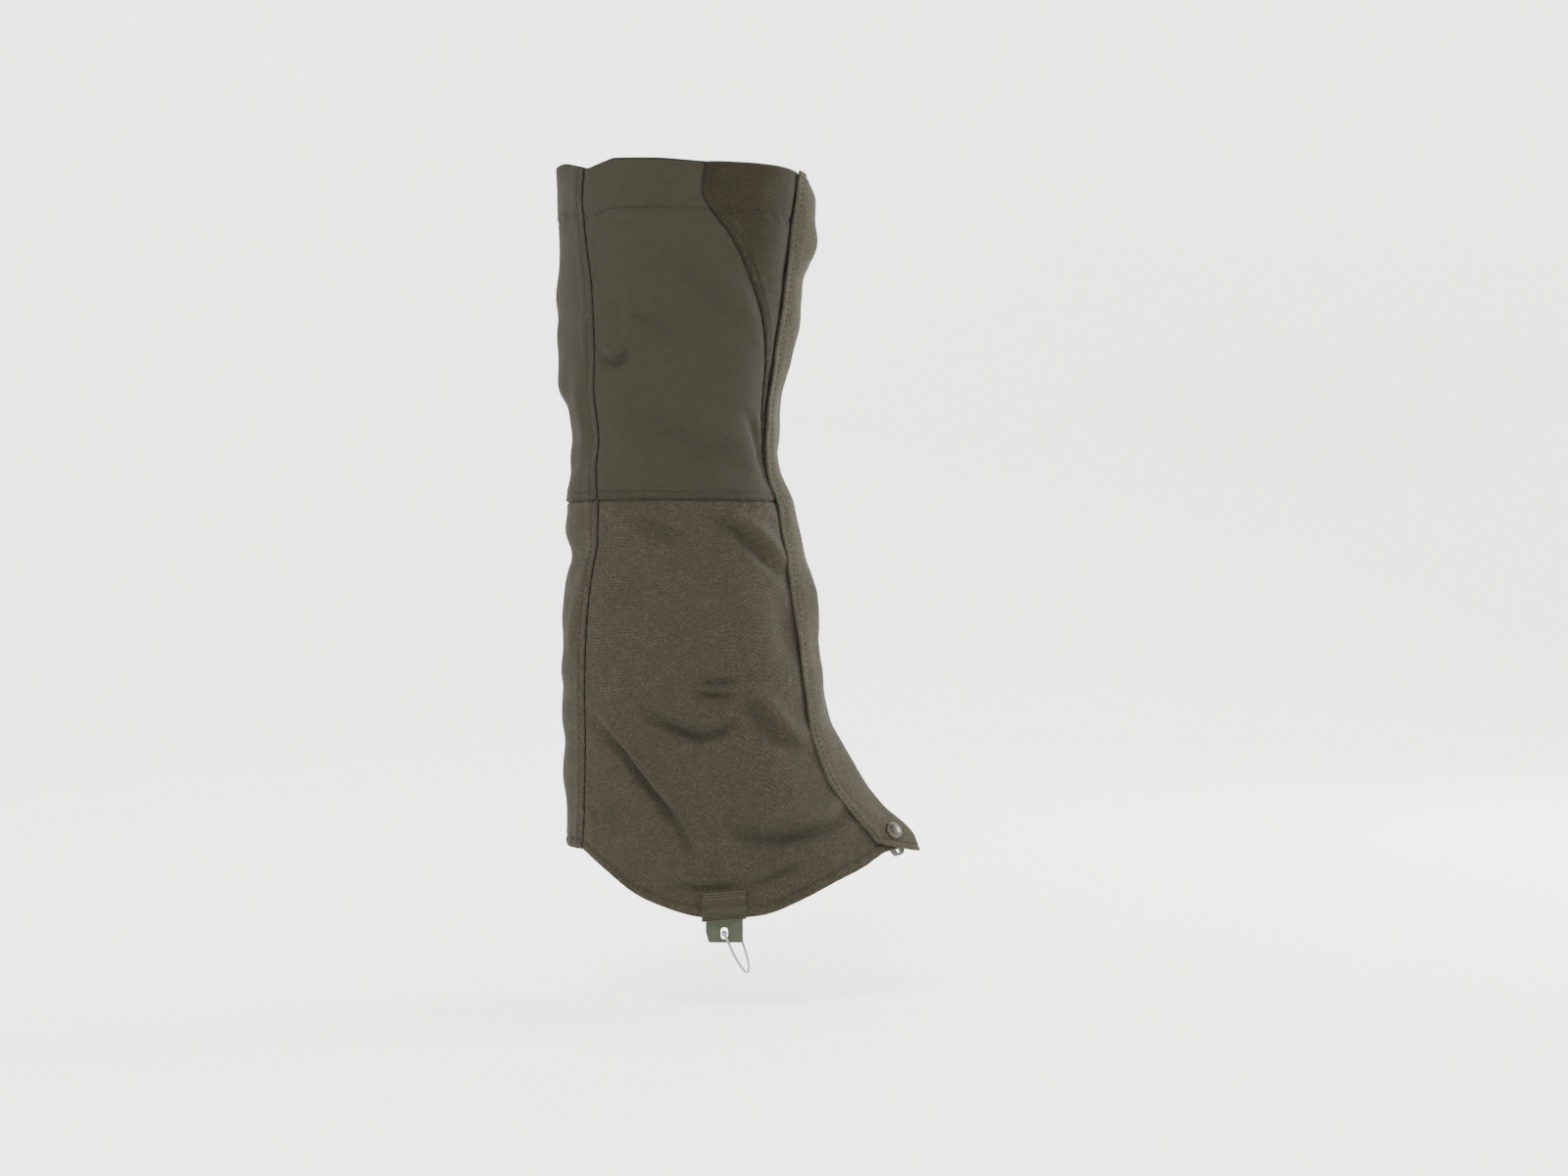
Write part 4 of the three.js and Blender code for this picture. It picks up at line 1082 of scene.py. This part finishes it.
def ribbed_webbing():
    """Polyester webbing: dull, with painted shade in the grooves between its ribs and painted
    light on their crowns, in bands as narrow as the ribs.
    """
    material, tree, shader = new_material("ribbed_polyester_webbing")
    flat = add_node(tree, "ShaderNodeUVMap", uv_map="cloth")
    at = add_node(tree, "ShaderNodeSeparateXYZ", {0: flat.outputs[0]})
    turns = add_node(tree, "ShaderNodeMath", {0: at.outputs[1], 1: 2 * math.pi / (RIB_PITCH * MM)},
                     operation="MULTIPLY")
    rib_shade_wave = add_node(tree, "ShaderNodeMath", {0: turns.outputs[0]}, operation="SINE")
    fibre = add_node(tree, "ShaderNodeTexNoise", {"Vector": flat.outputs[0], "Scale": 1 / (0.8 * MM),
                                                  "Detail": 3.0})
    level = add_node(tree, "ShaderNodeMapRange", {0: rib_shade_wave.outputs[0], 1: -1.0, 2: 1.0, 3: 0.0, 4: 1.0})
    mixed = add_node(tree, "ShaderNodeMix", {0: 0.25, 2: level.outputs[0], 3: fibre.outputs[0]})
    # Painted shade and light: near black in the grooves between the ribs, lighter on their crowns.
    tone = add_node(tree, "ShaderNodeMix", {0: mixed.outputs[0], 6: paint("020201"), 7: paint("3c392b")},
                    data_type="RGBA")
    bump = add_node(tree, "ShaderNodeBump", {"Strength": 0.5, "Distance": 0.2 * MM,
                                             "Height": fibre.outputs[0]})
    fill_inputs(tree, shader, {"Base Color": tone.outputs[2], "Normal": bump.outputs[0],
                               "Roughness": 0.85, "Specular IOR Level": 0.15})
    return material


webbing_cloth = ribbed_webbing()


def webbing_ply(node, outward, bend):
    """A ply's grid, drawn in its CAD place, with ribs across it and thick selvedges. Outward is
    how much of that relief it shows. Bend is 1 where it follows the hem and 0 where it is flat."""
    low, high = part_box(node)
    place = np.linspace(-0.5, 0.5, 84)[None, :] * WEBBING_WIDTH
    up = np.linspace(WEBBING_FOOT, WEBBING_TOP, 118)[:, None]
    z = up + place * WEBBING_TILT
    centre = (abs(low[1]) + abs(high[1])) / 2 / MM
    follow = np.abs(shell_point(np.arccos(np.clip(place / HEM_REACH, -1, 1)), z)[..., 1])
    curve = bend * (read_line(HALF_WIDTH, 0 * z) - follow)
    rib = RIB_HEIGHT * np.abs(np.sin((up - WEBBING_FOOT) / RIB_PITCH * math.pi)) ** 0.7
    from_side = WEBBING_WIDTH / 2 - np.abs(place)
    selvedge = 0.35 * np.exp(-((from_side - 1.0) / 0.9) ** 2) - 0.5 * np.exp(-(from_side / 0.35) ** 2)
    out = centre + 0.5 * WEBBING_THICK - curve + outward * (rib + selvedge)
    return np.stack([place + 0 * z, -out, z], axis=-1)


for node, side, outward, bend in (("outer_webbing_front", -1, 1, 1), ("inner_webbing_front", 1, 1, 1),
                                  ("outer_webbing_back", -1, 0.15, 0), ("inner_webbing_back", 1, 0.15, 0)):
    grid = webbing_ply(node, outward, bend)
    grid = grid if side < 0 else mirrored(grid)
    ply = cloth_object(node + "_ply", [grid], [webbing_cloth], WEBBING_THICK)
    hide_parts(node)
    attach(ply, "shell")


# ---- Wire tabs ----
# Injection-moulded nylon, olive green and semi-matt, with softened edges, a chamfer toward
# the heel and an oblong hole that the cable's ball hooks into.
def moulded_tab():
    """Moulded nylon: an even olive with faint flow marks and a soft sheen."""
    material, tree, shader = new_material("moulded_nylon_tab")
    where = add_node(tree, "ShaderNodeTexCoord")
    flow = add_node(tree, "ShaderNodeTexNoise", {"Vector": where.outputs["Object"], "Scale": 1 / (6 * MM),
                                                 "Detail": 3.0})
    grit = add_node(tree, "ShaderNodeTexNoise", {"Vector": where.outputs["Object"], "Scale": 1 / (0.5 * MM)})
    tone = add_node(tree, "ShaderNodeMix", {0: flow.outputs["Fac"], 6: paint("25281c"),
                                            7: paint("313526")}, data_type="RGBA")
    bump = add_node(tree, "ShaderNodeBump", {"Strength": 0.15, "Distance": 0.1 * MM,
                                             "Height": grit.outputs["Fac"]})
    fill_inputs(tree, shader, {"Base Color": tone.outputs[2], "Normal": bump.outputs[0],
                               "Roughness": 0.5, "Specular IOR Level": 0.25})
    return material


olive_nylon = moulded_tab()
TAB_BEVEL = 0.45
TAB_CORNER = 0.9
CHAMFER_UP = 6
CHAMFER_ACROSS = 1.6
HOLE_RADIUS = 2.0
HOLE_REACH = 1.4
tab_low, tab_high = (np.array(c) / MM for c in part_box("outer_wire_tab"))


def rounded_outline(corners, radius, pieces=6):
    """A closed outline whose corners are rounded."""
    outline = []
    count = len(corners)
    for i in range(count):
        before, here, after = (np.array(corners[(i + k) % count], float) for k in (-1, 0, 1))
        a = here + (before - here) / np.linalg.norm(before - here) * radius
        b = here + (after - here) / np.linalg.norm(after - here) * radius
        for t in np.linspace(0, 1, pieces):
            outline.append((1 - t) ** 2 * a + 2 * t * (1 - t) * here + t * t * b)
    return outline


def plate(name, outlines, thickness, bevel, turn, material):
    """A flat plate with softened edges, from an outline and its holes drawn in the XY plane."""
    curve = bpy.data.curves.new(name, "CURVE")
    curve.dimensions = "2D"
    curve.fill_mode = "BOTH"
    curve.extrude = (thickness / 2 - bevel) * MM
    curve.bevel_depth = bevel * MM
    curve.bevel_resolution = 3
    for outline in outlines:
        spline = curve.splines.new("POLY")
        spline.points.add(len(outline) - 1)
        for point, (x, y) in zip(spline.points, outline):
            point.co = (x * MM, y * MM, 0, 1)
        spline.use_cyclic_u = True
    drawn = bpy.data.objects.new(name, curve)
    bpy.context.scene.collection.objects.link(drawn)
    mesh = bpy.data.meshes.new_from_object(drawn.evaluated_get(bpy.context.evaluated_depsgraph_get()))
    bpy.data.objects.remove(drawn)
    mesh.transform(turn)
    mesh.materials.clear()
    mesh.materials.append(material)
    made = bpy.data.objects.new(name, mesh)
    bpy.context.scene.collection.objects.link(made)
    return made


tab_half = tab_high[0] - TAB_BEVEL
tab_corners = [(-tab_half, tab_high[2] - TAB_BEVEL), (-tab_half, tab_low[2] + CHAMFER_UP),
               (-tab_half + CHAMFER_ACROSS, tab_low[2] + TAB_BEVEL), (tab_half, tab_low[2] + TAB_BEVEL),
               (tab_half, tab_high[2] - TAB_BEVEL)]
hole_edge = HOLE_RADIUS + TAB_BEVEL
hole = [(hole_edge * math.cos(a), WIRE_PIVOT_HEIGHT + reach + hole_edge * math.sin(a))
        for start, reach in ((0, HOLE_REACH), (math.pi, -HOLE_REACH))
        for a in np.linspace(start, start + math.pi, 14)]
for side, node in ((-1, "outer_wire_tab"), (1, "inner_wire_tab")):
    middle = side * (abs(tab_low[1]) + abs(tab_high[1])) / 2 * MM
    upright = Matrix.Translation((0, middle, 0)) @ Matrix.Rotation(math.pi / 2, 4, "X")
    tab = plate(node + "_moulding", [rounded_outline(tab_corners, TAB_CORNER), hole],
                abs(tab_high[1] - tab_low[1]), TAB_BEVEL, upright, olive_nylon)
    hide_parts(node)
    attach(tab, "shell")


# ---- Metal fittings ----
# The snap, the lace hook and the zip's slider are zinc or brass with an antique finish, which
# is dark in the hollows and rubbed bright on the edges; here it varies in random patches.
def antique_metal():
    """Antique plated metal: worn brighter in patches, with fine pits."""
    material, tree, shader = new_material("antique_plated_metal")
    where = add_node(tree, "ShaderNodeTexCoord")
    wear = add_node(tree, "ShaderNodeTexNoise", {"Vector": where.outputs["Object"], "Scale": 1 / (2.5 * MM),
                                                 "Detail": 4.0})
    pits = add_node(tree, "ShaderNodeTexNoise", {"Vector": where.outputs["Object"], "Scale": 1 / (0.4 * MM)})
    tone = add_node(tree, "ShaderNodeMix", {0: wear.outputs["Fac"], 6: paint("201e1a"),
                                            7: paint("56534a")}, data_type="RGBA")
    bump = add_node(tree, "ShaderNodeBump", {"Strength": 0.2, "Distance": 0.1 * MM,
                                             "Height": pits.outputs["Fac"]})
    fill_inputs(tree, shader, {"Base Color": tone.outputs[2], "Normal": bump.outputs[0],
                               "Metallic": 1.0, "Roughness": 0.36})
    return material


aged_metal = antique_metal()
for node in ("snap_socket", "snap_stud", "snap_post", "lace_hook", "lace_hook_rivet", "zip_slider",
             "zip_puller", "zip_top_stop_outer", "zip_top_stop_inner", "zip_bottom_stop"):
    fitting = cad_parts[node]
    fitting.data.materials.clear()
    fitting.data.materials.append(aged_metal)
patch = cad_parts["lace_hook_patch"]
patch.data.materials.clear()
patch.data.materials.append(nylon_coil)

cap_low, cap_high = (np.array(c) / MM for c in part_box("snap_cap"))
SNAP_Y = -11.0
SNAP_Z = 44.0
CAP_SINK = 0.9
snap_spot = flap_point(np.array([SNAP_Y]), np.array([SNAP_Z]))[0]
beside = flap_point(np.array([SNAP_Y + 0.5]), np.array([SNAP_Z]))[0] - snap_spot
above_it = flap_point(np.array([SNAP_Y]), np.array([SNAP_Z + 0.5]))[0] - snap_spot
snap_normal = np.cross(beside, above_it)
snap_aim = np.array(Vector(snap_normal).to_track_quat("Z", "Y").to_matrix())
cap_profile = [(0, -0.3), (4.4, -0.3), (4.9, -0.1), (5.05, 0.35), (4.9, 0.8), (4.4, 1.15), (4.0, 1.2),
               (3.75, 1.1), (3.5, 1.25), (3.0, 1.55), (2.2, 1.8), (1.2, 1.95), (0.5, 2.0), (0, 2.0)]
cap_points, cap_faces = lathe(cap_profile, 48)
snap_centre = (cap_low + cap_high) / 2
cap_points = cap_points @ snap_aim.T + snap_centre - snap_aim[:, 2] * CAP_SINK
cap = make_object("snap_cap_dome", cap_points, cap_faces, [aged_metal])
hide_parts("snap_cap")
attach(cap, "flap")


# ---- Room ----
# A studio of pale matt paper, not part of the object. Its round floor curves up into a wall
# and glows a little, and large soft lights stand round it.
FLOOR_HEIGHT = -54
FLOOR_REACH = 2200
WALL_CURVE = 1200
WALL_TOP = 5200
ROOM_SIDES = 72
pale_paper, pale_tree, pale_shader = new_material("pale_paper")
fill_inputs(pale_tree, pale_shader, {"Base Color": paint("f3f3f2"), "Emission Color": paint("f3f3f2"),
                                     "Emission Strength": 0.85, "Roughness": 1.0,
                                     "Specular IOR Level": 0.0})
room_profile = [(500, 0), (FLOOR_REACH, 0)]
room_profile += [(FLOOR_REACH + WALL_CURVE * math.sin(a), WALL_CURVE - WALL_CURVE * math.cos(a))
                 for a in np.linspace(0.1, math.pi / 2, 14)]
room_profile += [(FLOOR_REACH + WALL_CURVE, WALL_TOP)]
room_angle = np.linspace(0, 2 * math.pi, ROOM_SIDES, endpoint=False)
room_points = [[r * math.cos(a), r * math.sin(a), h + FLOOR_HEIGHT] for r, h in room_profile
               for a in room_angle]
room_points += [[0, 0, FLOOR_HEIGHT]]
room_faces = []
starts = [i * ROOM_SIDES for i in range(len(room_profile))]
for j in range(ROOM_SIDES):
    k = (j + 1) % ROOM_SIDES
    room_faces += [(above + j, above + k, below + k, below + j) for below, above in zip(starts, starts[1:])]
    room_faces += [(j, k, len(room_points) - 1)]
room = make_object("studio_floor", room_points, room_faces, [pale_paper])
room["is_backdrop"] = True

world = bpy.data.worlds.new("studio")
world.use_nodes = True
world.node_tree.nodes["Background"].inputs["Color"].default_value = paint("f4f4f4")
world.node_tree.nodes["Background"].inputs["Strength"].default_value = 0.7
bpy.context.scene.world = world


def soft_light(name, place, target, size, power):
    """A large square light at a place, turned to a target, both in metres."""
    light = bpy.data.lights.new(name, "AREA")
    light.size = size
    light.energy = power
    made = bpy.data.objects.new(name, light)
    made.location = place
    made.rotation_euler = (Vector(target) - Vector(place)).to_track_quat("-Z", "Y").to_euler()
    bpy.context.scene.collection.objects.link(made)


soft_light("key", (-0.5, -1.5, 2.3), (0, 0, 0.2), 0.7, 52)
soft_light("shin_side", (1.8, 0.9, 0.8), (0, 0, 0.2), 0.7, 70)
soft_light("calf_side", (-2.0, 0.2, 0.8), (0, 0, 0.2), 0.7, 12)
soft_light("behind", (0.3, 2.2, 1.8), (0, 0, 0.2), 1.4, 25)

low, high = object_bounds()
